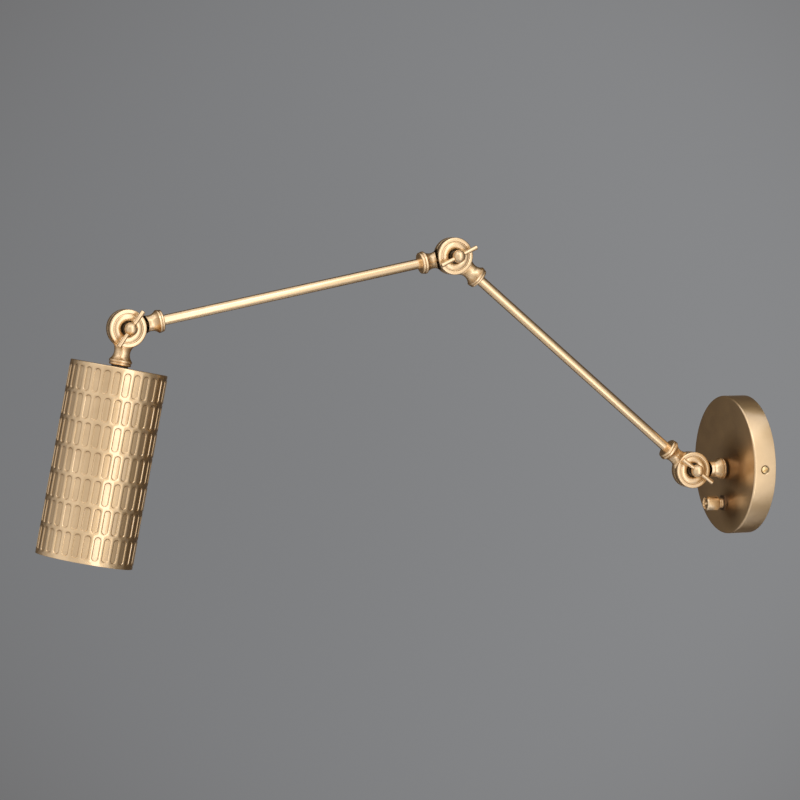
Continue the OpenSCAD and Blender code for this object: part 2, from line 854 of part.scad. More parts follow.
module elbow_tommy_bar() color("wheat") {
    translate(elbow_joint) heading(elbow_tommy_heading) to_front() tommy_bar();
}

module shade_clamp_screw() color("wheat") {
    translate(shade_joint) heading(shade_tommy_heading) to_front() clamp_screw();
}

module shade_tommy_bar() color("wheat") {
    translate(shade_joint) heading(shade_tommy_heading) to_front() tommy_bar();
}

// Half section of the knob: x is the radius and y the distance from the wall
module knob_section() {
    knob_r = knob_d / 2;
    dish_floor = knob_front - knob_dish;
    difference() {
        union() {
            translate([0, knob_back]) square([knob_neck_r, knob_neck_len + over]);
            translate([0, knob_shoulder]) square([knob_r, knob_len]);
        }
        // rounded back edge
        difference() {
            translate([knob_r - knob_back_r, knob_shoulder - over])
                square([knob_back_r + over, knob_back_r + over]);
            translate([knob_r - knob_back_r, knob_shoulder + knob_back_r])
                circle(r = knob_back_r, $fn = 48);
        }
        translate([knob_r, knob_front]) rotate(45) square(knob_bevel * sqrt(2), center = true);
        translate([-over, dish_floor]) square([knob_r - knob_rim_w + over, knob_dish + over]);
        // grooves round the neck
        for (third = [1, 2]) translate([knob_neck_r, knob_back + third * knob_neck_len / 3])
            circle(r = neck_groove_r, $fn = 24);
        // blind hole for the shaft
        translate([-over, knob_back - over])
            square([shaft_r + socket_fit + over, shaft_grip + over]);
    }
    translate([0, dish_floor]) intersection() {
        circle(r = knob_bead_r, $fn = 48);
        square(knob_bead_r);
    }
}

module dimmer_knob() color("#c8965a") {
    translate([0, 0, -knob_drop]) out_from_wall() rotate_extrude() knob_section();
}

module dimmer_shaft() color("silver") {
    shaft_start = plate_inside - dimmer_t / 2 + turning_gap;
    translate([0, 0, -knob_drop]) out_from_wall() translate([0, 0, shaft_start])
        cylinder(r = shaft_r, h = knob_back + shaft_grip - shaft_start);
}

wall_plate();
wall_bracket();
side_screws();
earth_screw();
terminal_block();
base_knuckle();
base_nipple();
base_spacer();
base_locknut();
base_friction_washer();
base_cap_nut();
dimmer_case();
dimmer_nut();
lower_arm_base_knuckle();
lower_arm_tube();
lower_arm_elbow_knuckle();
upper_arm_elbow_knuckle();
upper_arm_tube();
upper_arm_shade_knuckle();
upper_arm_friction_washers();
upper_arm_cap_nuts();
shade_knuckle();
shade_spacer();
shade_nipple();
shade();
shade_locknut();
lampholder_cap();
lampholder_body();
base_clamp_screw();
base_tommy_bar();
elbow_clamp_screw();
elbow_tommy_bar();
shade_clamp_screw();
shade_tommy_bar();
dimmer_knob();
dimmer_shaft();
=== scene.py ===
"""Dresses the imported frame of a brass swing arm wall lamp.

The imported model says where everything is: the joints, the shade's axis and the boxes of the
nodes. Each class below makes the pieces of one sub-assembly in its own workshop frame, in
millimetres, and sets them on the frame, in metres.
"""

import json
import logging
import math
from dataclasses import dataclass, field
from enum import Enum
from typing import Iterator, Sequence

import bmesh
import bpy
from mathutils import Matrix, Vector

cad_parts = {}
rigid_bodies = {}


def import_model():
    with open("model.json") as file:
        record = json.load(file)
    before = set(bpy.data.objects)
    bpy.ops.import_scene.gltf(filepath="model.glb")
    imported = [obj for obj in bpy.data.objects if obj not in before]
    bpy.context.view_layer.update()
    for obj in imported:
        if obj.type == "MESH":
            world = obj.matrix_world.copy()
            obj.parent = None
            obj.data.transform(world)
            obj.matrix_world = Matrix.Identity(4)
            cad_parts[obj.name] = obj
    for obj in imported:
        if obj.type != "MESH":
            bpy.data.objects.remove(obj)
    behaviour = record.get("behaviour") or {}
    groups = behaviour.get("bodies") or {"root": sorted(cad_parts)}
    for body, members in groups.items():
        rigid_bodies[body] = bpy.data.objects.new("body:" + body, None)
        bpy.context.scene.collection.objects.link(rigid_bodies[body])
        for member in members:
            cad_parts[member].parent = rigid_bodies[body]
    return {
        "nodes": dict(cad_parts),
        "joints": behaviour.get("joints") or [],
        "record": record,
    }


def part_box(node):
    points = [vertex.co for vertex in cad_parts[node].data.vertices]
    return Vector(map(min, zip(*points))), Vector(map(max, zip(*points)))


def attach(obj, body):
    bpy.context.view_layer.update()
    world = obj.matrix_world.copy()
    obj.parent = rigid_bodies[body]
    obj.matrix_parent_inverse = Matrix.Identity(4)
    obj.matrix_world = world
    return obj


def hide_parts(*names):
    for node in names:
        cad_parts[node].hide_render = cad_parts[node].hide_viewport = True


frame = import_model()

MM = 0.001
LOCAL = "workshop_mm"
# Name of the mesh attribute that carries the flutes' patina and painted shade.
PATINA_AND_SHADE_ATTR = "patina_and_shade"
LOG = logging.getLogger("wall_lamp")
TO_X = Matrix.Rotation(math.pi / 2, 4, "Y")

Colour = tuple[float, float, float]
Point = tuple[float, float]
# A corner of a turned profile: its radius, its place along the axis, and its fillet where it has one.
Corner = tuple[float, ...]
Socket = bpy.types.NodeSocket
Node = bpy.types.Node
Mesh = bpy.types.Mesh
Pieces = Iterator[bpy.types.Object]


class Body(Enum):
    """The bodies of the frame that pieces ride on."""

    WALL_MOUNT = "wall_mount"
    LOWER_ARM = "lower_arm"
    UPPER_ARM = "upper_arm"
    SHADE_HEAD = "shade_head"
    BASE_CLAMP = "base_clamp"
    ELBOW_CLAMP = "elbow_clamp"
    SHADE_CLAMP = "shade_clamp"
    DIMMER = "dimmer"


class Cut(Enum):
    """How two solids are put together."""

    JOIN = "UNION"
    REMOVE = "DIFFERENCE"
    KEEP_COMMON = "INTERSECT"


class Marks(Enum):
    """The direction of the tool marks on a metal surface, in a piece's workshop frame."""

    CAST = "all ways"
    TURNED = "round local Z"
    DRAWN = "along local Z"


def arc(centre: Point, radius: float, start: float, end: float, steps: int) -> list[Corner]:
    """Sharp corners along an arc, between two angles in degrees from the radial direction."""
    angles = [math.radians(start + (end - start) * i / steps) for i in range(steps + 1)]
    return [(centre[0] + radius * math.cos(a), centre[1] + radius * math.sin(a)) for a in angles]


def softened(corners: Sequence[Corner], steps: int, closed: bool) -> list[Point]:
    """Rounds the corners of a profile that have a fillet.

    Args:
        corners: The profile in order.
        steps: Number of chords in each rounding.
        closed: Whether the last corner joins the first.

    Returns:
        The points of the rounded profile.
    """
    points: list[Point] = []
    places = [Vector(corner[:2]) for corner in corners]
    for i, here in enumerate(places):
        if len(corners[i]) < 3 or (not closed and i in (0, len(places) - 1)):
            points.append((here.x, here.y))
            continue
        to_before = places[i - 1] - here
        to_after = places[(i + 1) % len(places)] - here
        half = to_before.angle(to_after) / 2
        trim = min(corners[i][2] / math.tan(half), to_before.length / 2, to_after.length / 2)
        radius = trim * math.tan(half)
        first = here + to_before.normalized() * trim
        end = here + to_after.normalized() * trim
        middle = here + (to_before.normalized() + to_after.normalized()).normalized() * radius / math.sin(half)
        start_angle = math.atan2(first.y - middle.y, first.x - middle.x)
        swing = math.remainder(math.atan2(end.y - middle.y, end.x - middle.x) - start_angle, math.tau)
        for step in range(steps + 1):
            angle = start_angle + swing * step / steps
            points.append((middle.x + radius * math.cos(angle), middle.y + radius * math.sin(angle)))
    return points


def bridge(work: bmesh.types.BMesh, low: list[bmesh.types.BMVert], high: list[bmesh.types.BMVert]) -> None:
    """Joins two loops of vertices by faces, or a loop and a pole.

    Args:
        work: The edit mesh.
        low: One loop, or a pole of a single vertex.
        high: The other loop or pole.
    """
    a, b = len(low), len(high)
    for i in range(max(a, b) if a + b > 2 else 0):
        loop = [low[i % a], low[(i + 1) % a], high[(i + 1) % b], high[i % b]]
        work.faces.new(list(dict.fromkeys(loop)))


def mesh_of(work: bmesh.types.BMesh, name: str) -> Mesh:
    """Turns an edit mesh into a mesh, and frees it.

    Args:
        work: The edit mesh.
        name: The new mesh's name.

    Returns:
        The mesh.
    """
    mesh = bpy.data.meshes.new(name)
    work.to_mesh(mesh)
    work.free()
    return mesh


def shown(name: str, data: bpy.types.ID) -> bpy.types.Object:
    """Puts a new object in the scene."""
    thing = bpy.data.objects.new(name, data)
    bpy.context.scene.collection.objects.link(thing)
    return thing


def evaluated(holder: bpy.types.Object) -> Mesh:
    """Turns an object into the plain mesh that its modifiers make.

    Args:
        holder: The object, which is removed.

    Returns:
        The mesh.
    """
    graph = bpy.context.evaluated_depsgraph_get()
    mesh = bpy.data.meshes.new_from_object(holder.evaluated_get(graph), depsgraph=graph)
    holder.modifiers.clear()
    bpy.data.objects.remove(holder)
    return mesh


class Solid:
    """A closed mesh in the making, in millimetres, with the cuts that a workshop makes."""

    def __init__(self, mesh: Mesh) -> None:
        """Takes over a mesh."""
        self.mesh = mesh

    @classmethod
    def from_bmesh(cls, work: bmesh.types.BMesh) -> "Solid":
        """Turns an edit mesh into a solid whose faces point outwards."""
        bmesh.ops.recalc_face_normals(work, faces=work.faces)
        return cls(mesh_of(work, "solid"))

    @classmethod
    def turned(
        cls, corners: Sequence[Corner], segments: int = 96, steps: int = 4, closed: bool = False, start: float = 0.0
    ) -> "Solid":
        """Turns a profile about local Z.

        Args:
            corners: The profile. An open one starts and ends on the axis or is an open sheet.
            segments: Number of facets round the axis.
            steps: Number of chords in each rounded corner.
            closed: Whether the profile is a closed section clear of the axis.
            start: Angle of the first facet's edge, in degrees.

        Returns:
            The turned solid.
        """
        work = bmesh.new()
        turns = [math.radians(start) + math.tau * i / segments for i in range(segments)]
        rings = [
            [work.verts.new((radius * math.cos(a), radius * math.sin(a), along)) for a in (turns if radius else [0.0])]
            for radius, along in softened(corners, steps, closed)
        ]
        for low, high in zip(rings, rings[1:] + rings[:1] if closed else rings[1:]):
            bridge(work, low, high)
        return cls.from_bmesh(work)

    @classmethod
    def prism(cls, outline: Sequence[Point], low: float, high: float) -> "Solid":
        """Raises a flat outline along local Z.

        Args:
            outline: The corners in order.
            low: Where it starts.
            high: Where it ends.

        Returns:
            The prism.
        """
        work = bmesh.new()
        floor, roof = ([work.verts.new((x, y, z)) for x, y in outline] for z in (low, high))
        work.faces.new(floor)
        work.faces.new(roof)
        bridge(work, floor, roof)
        return cls.from_bmesh(work)

    @classmethod
    def block(cls, low: Sequence[float], high: Sequence[float]) -> "Solid":
        """A block with square corners, from its lowest to its highest corner."""
        outline = [(low[0], low[1]), (high[0], low[1]), (high[0], high[1]), (low[0], high[1])]
        return cls.prism(outline, low[2], high[2])

    @classmethod
    def of_node(cls, node: str) -> "Solid":
        """Copies a node of the frame.

        Args:
            node: The node's name.

        Returns:
            The node's shape in millimetres, merged, with its flat faces whole.
        """
        work = bmesh.new()
        work.from_mesh(frame["nodes"][node].data)
        work.transform(Matrix.Scale(1 / MM, 4))
        bmesh.ops.remove_doubles(work, verts=work.verts, dist=1e-4)
        bmesh.ops.dissolve_limit(work, angle_limit=math.radians(0.5), verts=work.verts, edges=work.edges)
        return cls.from_bmesh(work)

    def moved(self, matrix: Matrix) -> "Solid":
        """A copy of the solid, moved by a matrix."""
        mesh = self.mesh.copy()
        mesh.transform(matrix)
        return Solid(mesh)

    def raised(self, height: float) -> "Solid":
        """A copy of the solid, moved along local Z."""
        return self.moved(Matrix.Translation((0, 0, height)))

    def _after(self, kind: str, **settings: object) -> "Solid":
        """Runs one modifier on the solid.

        Args:
            kind: The modifier's type.
            **settings: Its properties.

        Returns:
            The solid that results.
        """
        holder = shown("bench", self.mesh)
        modifier = holder.modifiers.new(kind, kind)
        for name, value in settings.items():
            setattr(modifier, name, value)
        return Solid(evaluated(holder))

    def combined(self, other: "Solid", cut: Cut) -> "Solid":
        """Puts the solid together with another.

        Args:
            other: The other solid.
            cut: Whether it is joined, cut away or intersected.

        Returns:
            The solid that results.
        """
        tool = shown("tool", other.mesh)
        result = self._after("BOOLEAN", operation=cut.value, solver="EXACT", object=tool)
        bpy.data.objects.remove(tool)
        return result

    def joined(self, other: "Solid") -> "Solid":
        """The solid with another fused on."""
        return self.combined(other, Cut.JOIN)

    def less(self, other: "Solid") -> "Solid":
        """The solid with another cut away."""
        return self.combined(other, Cut.REMOVE)

    def common(self, other: "Solid") -> "Solid":
        """What the solid and another have in common."""
        return self.combined(other, Cut.KEEP_COMMON)

    def beside(self, *others: "Solid") -> "Solid":
        """Gathers the solid and others that it doesn't touch.

        Args:
            *others: The others.

        Returns:
            One solid of them all.
        """
        work = bmesh.new()
        for solid in (self, *others):
            work.from_mesh(solid.mesh)
        return Solid.from_bmesh(work)

    def broken_edges(self, width: float, angle: float = 35.0, segments: int = 2) -> "Solid":
        """The solid with a small bevel on its sharp edges.

        Args:
            width: Width of the bevel in millimetres.
            angle: Edges sharper than this many degrees are bevelled.
            segments: Number of strips in the bevel.

        Returns:
            The bevelled solid.
        """
        limit = {"limit_method": "ANGLE", "angle_limit": math.radians(angle), "use_clamp_overlap": True}
        return self._after("BEVEL", width=width, segments=segments, **limit)


def corner_radius(flats: float) -> float:
    """The distance from a hexagon's middle to its corners, for a width across its flats."""
    return flats / 2 / math.cos(math.pi / 6)


def hexagon(flats: float) -> list[Point]:
    """The corners of a hexagon with the given width across its flats."""
    radius = corner_radius(flats)
    return [(radius * math.cos(k * math.pi / 3), radius * math.sin(k * math.pi / 3)) for k in range(6)]


def rod(radius: float, low: float, high: float, segments: int = 96, fillet: float = 0.0) -> Solid:
    """A plain round rod, core or cutter about local Z."""
    edge = (fillet,) if fillet else ()
    return Solid.turned([(0, low), (radius, low, *edge), (radius, high, *edge), (0, high)], segments)


def sleeve(radii: Point, low: float, high: float, inner_fillet: float, outer_fillet: float) -> Solid:
    """A ring of square section about local Z, with its four edges rounded."""
    corners = [(r, z, f) for z in (low, high) for r, f in zip(radii, (inner_fillet, outer_fillet))]
    return Solid.turned([*corners[:2], corners[3], corners[2]], closed=True)


def ridged(radius: float, low: float, high: float, pitch: float, depth: float) -> list[Corner]:
    """The crests and roots of a thread, drawn as rings.

    Args:
        radius: Radius of the crests.
        low: Where the thread starts.
        high: Where it ends.
        pitch: Distance between crests.
        depth: Depth of the roots.

    Returns:
        The corners from low to high.
    """
    turns = max(1, int((high - low) / pitch))
    step = (high - low) / turns
    corners = []
    for turn in range(turns):
        start = low + turn * step
        corners += [(radius - depth, start), (radius, start + 0.35 * step), (radius, start + 0.65 * step)]
    return [*corners, (radius - depth, high)]


def hex_nut(flats: float, height: float, hole_r: float, chamfer: float = 0.8) -> Solid:
    """A hexagon nut with turned chamfers, standing on z = 0.

    Args:
        flats: Width across the flats.
        height: Thickness of the nut.
        hole_r: Radius of the thread.
        chamfer: Height of the chamfer on the corners.

    Returns:
        The nut.
    """
    top_r, side_r = flats / 2 - 0.1, corner_radius(flats) + 0.3
    profile = [(0, 0), (top_r, 0), (side_r, chamfer), (side_r, height - chamfer), (top_r, height), (0, height)]
    blank = Solid.prism(hexagon(flats), -1, height + 1).common(Solid.turned(profile))
    return blank.less(rod(hole_r, -1, height + 1)).broken_edges(0.12)


def seat(point: Vector, along: Vector, outward: Vector) -> Matrix:
    """Where a workshop frame goes in the lamp.

    Args:
        point: The frame's origin, in metres.
        along: The direction of its local X.
        outward: The direction of its local Z.

    Returns:
        A matrix from workshop millimetres to the lamp's metres.
    """
    x, z = along.normalized(), outward.normalized()
    turn = Matrix((x, z.cross(x), z)).transposed().to_4x4()
    return Matrix.Translation(point) @ turn @ Matrix.Scale(MM, 4)


def axial(point: Vector, axis: Vector) -> Matrix:
    """Like seat, with local Z along an axis in the XZ plane and local Y along the lamp's Y."""
    return seat(point, Vector((0, 1, 0)).cross(axis.normalized()), axis)


class Skeleton:
    """The points and directions of the lamp at rest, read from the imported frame."""

    front = Vector((0, -1, 0))
    back = Vector((0, 1, 0))
    from_wall = Vector((-1, 0, 0))

    def __init__(self) -> None:
        """Reads the joints and the lamp socket's axis."""
        joints = {joint["name"]: Vector(joint["pos_m"]) for joint in frame["joints"]}
        mounts = {mount["name"]: mount for mount in frame["record"]["mounts"]}
        self.at = {name: joints[f"{name}_tilt"] for name in ("base", "elbow", "shade")}
        self.knob = joints["dimmer_turn"]
        self.shade_axis = Vector(mounts["lamp_socket"]["axis"]).normalized()

    def bar_direction(self, node: str) -> Vector:
        """The direction of a tommy bar, from the middle of its box to the middle of its right end.

        Args:
            node: The bar's node.

        Returns:
            The direction, in the XZ plane.
        """
        low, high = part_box(node)
        middle = (low + high) / 2
        right_half = [v.co for v in frame["nodes"][node].data.vertices if v.co.x > middle.x]
        reach = max((point - middle).length for point in right_half)
        end = [point for point in right_half if (point - middle).length > 0.97 * reach]
        direction = sum(end, Vector()) / len(end) - middle
        return Vector((direction.x, 0, direction.z)).normalized()


class Bench:
    """Adds nodes to a tree and wires them up."""

    def __init__(self, tree: bpy.types.NodeTree) -> None:
        """Takes the tree to work on."""
        self.tree = tree

    def feed(self, socket: Socket, value: object) -> None:
        """Links a socket, or sets its value.

        Args:
            socket: The input to feed.
            value: The socket to link to it, or its value.
        """
        if isinstance(value, Socket):
            self.tree.links.new(value, socket)
        else:
            socket.default_value = value

    def wire(self, node: Node, **values: object) -> Node:
        """Feeds a node's inputs by their names, with _ for a space, and gives the node back."""
        for name, value in values.items():
            self.feed(node.inputs[name.replace("_", " ")], value)
        return node

    def add(self, kind: str, settings: dict[str, object] | None = None, **values: object) -> Node:
        """Adds one node.

        Args:
            kind: The node's type.
            settings: Properties of the node itself.
            **values: Socket values or sockets to link, by name, with _ for a space.

        Returns:
            The new node.
        """
        node = self.tree.nodes.new(kind)
        for name, value in (settings or {}).items():
            setattr(node, name, value)
        return self.wire(node, **values)

    def ordered(self, kind: str, settings: dict[str, object], *values: object) -> Node:
        """Adds one node whose inputs are fed in their order.

        Args:
            kind: The node's type.
            settings: Properties of the node itself.
            *values: Socket values or sockets to link.

        Returns:
            The new node.
        """
        node = self.add(kind, settings)
        for socket, value in zip(node.inputs, values):
            self.feed(socket, value)
        return node

    def math(self, operation: str, *values: object) -> Socket:
        """Adds a math node and gives its result."""
        return self.ordered("ShaderNodeMath", {"operation": operation}, *values).outputs[0]

    def times(self, product: object, *others: object) -> Socket:
        """Multiplies values.

        Args:
            product: The first value.
            *others: The values to multiply it by, one after the other.

        Returns:
            The product.
        """
        for other in others:
            product = self.math("MULTIPLY", product, other)
        return product

    def vector(self, operation: str, *values: object) -> Socket:
        """Adds a vector math node and gives the number that results."""
        return self.ordered("ShaderNodeVectorMath", {"operation": operation}, *values).outputs["Value"]

    def radius(self, first: Socket, second: Socket) -> Socket:
        """The length of the hypotenuse of two distances."""
        squares = [self.math("POWER", side, 2) for side in (first, second)]
        return self.math("SQRT", self.math("ADD", *squares))

    def span(
        self, value: object, low: float, high: float, to_low: float, to_high: float, shape: str = "LINEAR"
    ) -> Socket:
        """Maps a range of values to another, kept within its ends.

        Args:
            value: The value to map.
            low: Start of its range.
            high: End of its range.
            to_low: What the start becomes.
            to_high: What the end becomes.
            shape: The kind of interpolation.

        Returns:
            The mapped value.
        """
        settings = {"interpolation_type": shape}
        return self.ordered("ShaderNodeMapRange", settings, value, low, high, to_low, to_high).outputs[0]

    def blend(self, share: object, low: object, high: object) -> Socket:
        """Mixes two colours.

        Args:
            share: Share of the second colour, from 0 to 1.
            low: The first colour.
            high: The second colour.

        Returns:
            The mixed colour.
        """
        node = self.add("ShaderNodeMix", {"data_type": "RGBA"})
        for index, value in ((0, share), (6, low), (7, high)):
            self.feed(node.inputs[index], value)
        return node.outputs[2]

    def noise(self, place: Socket, scale: float, detail: float = 3.0, roughness: float = 0.5) -> Socket:
        """A noise pattern on the given coordinates."""
        return self.add("ShaderNodeTexNoise", Vector=place, Scale=scale, Detail=detail, Roughness=roughness).outputs[0]

    def axes(self, place: Socket) -> Sequence[Socket]:
        """The x, y and z of coordinates."""
        return self.add("ShaderNodeSeparateXYZ", Vector=place).outputs


def shader(name: str) -> tuple[bpy.types.Material, Bench, Node]:
    """Makes a new material with a Principled shader wired to its output.

    Args:
        name: The material's name.

    Returns:
        The material, a bench on its tree, and the shader.
    """
    material = bpy.data.materials.new(name)
    material.use_nodes = True
    material.node_tree.nodes.clear()
    bench = Bench(material.node_tree)
    surface = bench.add("ShaderNodeBsdfPrincipled")
    bench.add("ShaderNodeOutputMaterial", Surface=surface.outputs[0])
    return material, bench, surface


def opaque(colour: Colour) -> tuple[float, float, float, float]:
    """A colour with full alpha."""
    return (*colour, 1.0)


@dataclass(frozen=True)
class Finish:
    """A finish of the lamp: one material, made once and shared, for one slot of the record."""

    name: str
    slot: str

    def material(self) -> bpy.types.Material:
        """The finish's material, made on first use."""
        name = f"{type(self).__name__.lower()}_{self.name}"
        material = bpy.data.materials.get(name)
        if material is None:
            material, bench, surface = shader(name)
            self.dress(bench, surface, bench.add("ShaderNodeAttribute", {"attribute_name": LOCAL}).outputs["Vector"])
        return material

    def dress(self, bench: Bench, surface: Node, place: Socket) -> None:
        """Gives the surface its colour, roughness and bump.

        Args:
            bench: The bench of the material's tree.
            surface: The material's shader.
            place: The coordinates of the piece's workshop frame, in millimetres.
        """
        raise NotImplementedError


@dataclass(frozen=True)
class Brass(Finish):
    """Lacquered brass with patina and painted shade in its recesses, and the marks of how it was made.

    Attributes:
        bright: Colour of the polished metal.
        patina: Colour of the aged metal in blotches, and of the patina and painted shade in recesses.
        polish: Roughness where it is smoothest.
        haze: How much rougher the blotches and marks are.
        marks: Direction of the tool marks.
        pitch: Distance between tool marks in millimetres.
        relief: Strength of the tool marks' bump.
        recess: Reach of the patina and painted shade out of a recess, in millimetres.
        lacquer: Weight of the clear coat.
        satin: Roughness of the clear coat.
    """

    bright: Colour
    patina: Colour
    polish: float
    haze: float
    marks: Marks
    pitch: float = 0.25
    relief: float = 0.05
    recess: float = 1.2
    lacquer: float = 0.25
    satin: float = 0.1

    def mark_coordinates(self, bench: Bench, place: Socket) -> Socket:
        """Bends the coordinates so that noise on them makes lines in the direction of the tool marks.

        Args:
            bench: The bench of the material's tree.
            place: The coordinates of the piece's workshop frame.

        Returns:
            The bent coordinates.
        """
        if self.marks is Marks.CAST:
            return place
        x, y, z = bench.axes(place)
        if self.marks is Marks.DRAWN:
            return bench.add("ShaderNodeCombineXYZ", X=x, Y=y, Z=bench.times(z, 0.02)).outputs[0]
        turn = bench.times(bench.math("ARCTAN2", y, x), 0.25)
        return bench.add("ShaderNodeCombineXYZ", X=bench.radius(x, y), Y=z, Z=turn).outputs[0]

    def deep_shade(self, bench: Bench, place: Socket) -> object:
        """How dark the painted shade in the piece's deepest crevices is, from 0 to 1."""
        return 0.0

    def painted_shade(self, bench: Bench, place: Socket) -> object:
        """How much painted shade lies where other pieces stand on this one, from 0 to 1."""
        return 0.0

    def dress(self, bench: Bench, surface: Node, place: Socket) -> None:
        """Gives the surface its patina and painted shade, its blotches, its tool marks and its lacquer."""
        # Painted black shade in the deepest crevices.
        deep_shade = self.deep_shade(bench, place)
        lines = bench.noise(self.mark_coordinates(bench, place), 1 / self.pitch)
        clouds = bench.span(bench.noise(place, 0.06, 4.0, 0.6), 0.35, 0.7, 0.0, 1.0)
        # Patina and painted shade in recesses, from ambient occlusion.
        sky = bench.add("ShaderNodeAmbientOcclusion", {"samples": 8, "only_local": True}, Distance=self.recess * MM)
        recessed = bench.span(sky.outputs["AO"], 0.1, 0.7, 0.9, 0.0)
        # The flutes' patina and painted shade, and the painted shade laid round joints and fixings.
        patina_and_shade_share = bench.add("ShaderNodeAttribute", {"attribute_name": PATINA_AND_SHADE_ATTR}).outputs["Fac"]
        patina_and_shade_share = bench.math("MAXIMUM", patina_and_shade_share, self.painted_shade(bench, place))
        faint = bench.times(clouds, CLOUD_SHARE)
        aged_and_shaded_share = bench.math("ADD", bench.math("MAXIMUM", recessed, patina_and_shade_share), faint)
        streaks = bench.times(bench.math("SUBTRACT", lines, 0.5), STREAK_SHARE)
        share = bench.add("ShaderNodeClamp", Value=bench.math("ADD", aged_and_shaded_share, streaks)).outputs[0]
        metal = bench.blend(share, opaque(self.bright), opaque(self.patina))
        rough = bench.math("ADD", bench.times(clouds, 0.7), bench.times(lines, 0.3))
        coat_share = bench.times(bench.math("SUBTRACT", 1.0, share), bench.math("SUBTRACT", 1.0, deep_shade))
        bench.wire(
            surface,
            Base_Color=bench.blend(deep_shade, metal, opaque(SHADE_BLACK)),
            Metallic=1.0,
            Roughness=bench.span(rough, 0.2, 0.8, self.polish, self.polish + self.haze),
            Normal=bench.add("ShaderNodeBump", Strength=self.relief, Distance=0.00005, Height=lines).outputs[0],
            Coat_Weight=bench.times(coat_share, self.lacquer),
            Coat_Roughness=self.satin,
            Coat_IOR=2.4,
        )


@dataclass(frozen=True)
class CastBrass(Brass):
    """Cast brass, with painted black shade in the well of a cheek and in the step between a cheek and a neck.

    Attributes:
        well: Radius of the well and height of its mouth above the joint's middle plane.
        step: Inner and outer radius of the step beside the neck.
        groove: Radii of the two painted shade lines in the groove of the cheek, their half width, and their height.
        neck: Distances between which the painted shade at either end of the neck fades, first beside the cheek.
    """

    well: Point = (6.15, 5.2)
    step: Point = (15.3, 17.8)
    groove: tuple[float, float, float, float] = (12.3, 11.4, 0.32, 5.3)
    neck: tuple[float, float, float, float] = (15.9, 19.5, 22.5, 26.4)

    def painted_shade(self, bench: Bench, place: Socket) -> object:
        """How much painted shade lies in the cheek's groove and at the neck's ends, from 0 to 1."""
        x, y, z = bench.axes(place)
        *middles, half, height = self.groove
        radius = bench.radius(x, y)
        lines = []
        for middle, share in zip(middles, (0.7, 0.45)):
            away = bench.math("ABSOLUTE", bench.math("SUBTRACT", radius, middle))
            lines.append(bench.span(away, 0.6 * half, half, share, 0.0))
        grooved = bench.times(bench.math("MAXIMUM", *lines), bench.math("GREATER_THAN", z, height))
        root, root_end, foot_start, foot = self.neck
        by_cheek = bench.times(bench.span(x, root, root_end, 0.6, 0.0), bench.math("GREATER_THAN", x, root))
        by_collar = bench.times(bench.span(x, foot_start, foot, 0.0, 0.6), bench.math("LESS_THAN", x, foot))
        return bench.math("MAXIMUM", grooved, bench.math("MAXIMUM", by_cheek, by_collar))

    def deep_shade(self, bench: Bench, place: Socket) -> object:
        """How dark the painted shade in the well and in the step beside the neck is, from 0 to 1."""
        x, y, z = bench.axes(place)
        radius = bench.radius(x, y)
        (well_r, mouth), (near, far) = self.well, self.step
        within, below = bench.span(radius, well_r, well_r + 0.2, 0.9, 0.0), bench.span(z, mouth - 0.8, mouth, 1.0, 0.0)
        past, short = bench.span(radius, near - 0.1, near, 0.0, 1.0), bench.span(radius, far, far + 0.1, 1.0, 0.0)
        in_step = bench.times(past, short, bench.span(z, 0.45, 0.5, 1.0, 0.0))
        return bench.math("MAXIMUM", bench.times(within, below), in_step)


@dataclass(frozen=True)
class ScrewBrass(Brass):
    """Turned brass, with painted black shade where a clamp screw goes down into the well of its cheek.

    Attributes:
        shadow: Heights between which the painted black shade gives way to bare brass.
    """

    shadow: Point = (7.5, 9.5)

    def deep_shade(self, bench: Bench, place: Socket) -> object:
        """How dark the painted shade on the screw inside the well is, from 0 to 1."""
        height = bench.axes(place)[2]
        low = bench.span(height, *self.shadow, 0.9, 0.0)
        return bench.times(low, bench.math("GREATER_THAN", height, 0.0))


@dataclass(frozen=True)
class SpunBrass(Brass):
    """Spun brass, with painted shade in the dimples round the two screws in its rim and painted shadow round the stem
    and the knob.

    Attributes:
        dimple: Inner and outer radius of the ring of painted shade in a dimple.
        depth: Distance of the dimples from the wall.
        rim: Distance from the middle past which the rim lies.
        halos: The painted shadow round the stem and the knob: how far towards the front and how far down its
        middle lies, and the radii between which it fades out.
    """

    dimple: Point = (2.6, 4.1)
    depth: float = 10.0
    rim: float = 57.0
    halos: tuple[tuple[float, ...], ...] = ((20.0, 0.0, 12.0, 34.0), (14.0, 33.5, 10.0, 25.0))

    def painted_shade(self, bench: Bench, place: Socket) -> object:
        """How much painted shadow lies round the stem and the knob, from 0 to 1."""
        x, y, _ = bench.axes(place)
        halos = []
        for aside, drop, near, far in self.halos:
            radius = bench.radius(bench.math("SUBTRACT", x, aside), bench.math("ADD", y, drop))
            halos.append(bench.span(radius, near, far, 0.75, 0.0))
        return bench.math("MAXIMUM", *halos)

    def deep_shade(self, bench: Bench, place: Socket) -> object:
        """How dark the painted shade in the dimples round the rim screws is, from 0 to 1."""
        x, y, z = bench.axes(place)
        inner, outer = self.dimple
        radius = bench.radius(bench.math("SUBTRACT", z, self.depth), y)
        past = bench.span(radius, inner, inner + 0.4, 0.0, 0.75)
        short = bench.span(radius, outer - 0.8, outer, 1.0, 0.0)
        on_rim = bench.math("GREATER_THAN", bench.math("ABSOLUTE", x), self.rim)
        return bench.times(past, short, on_rim)


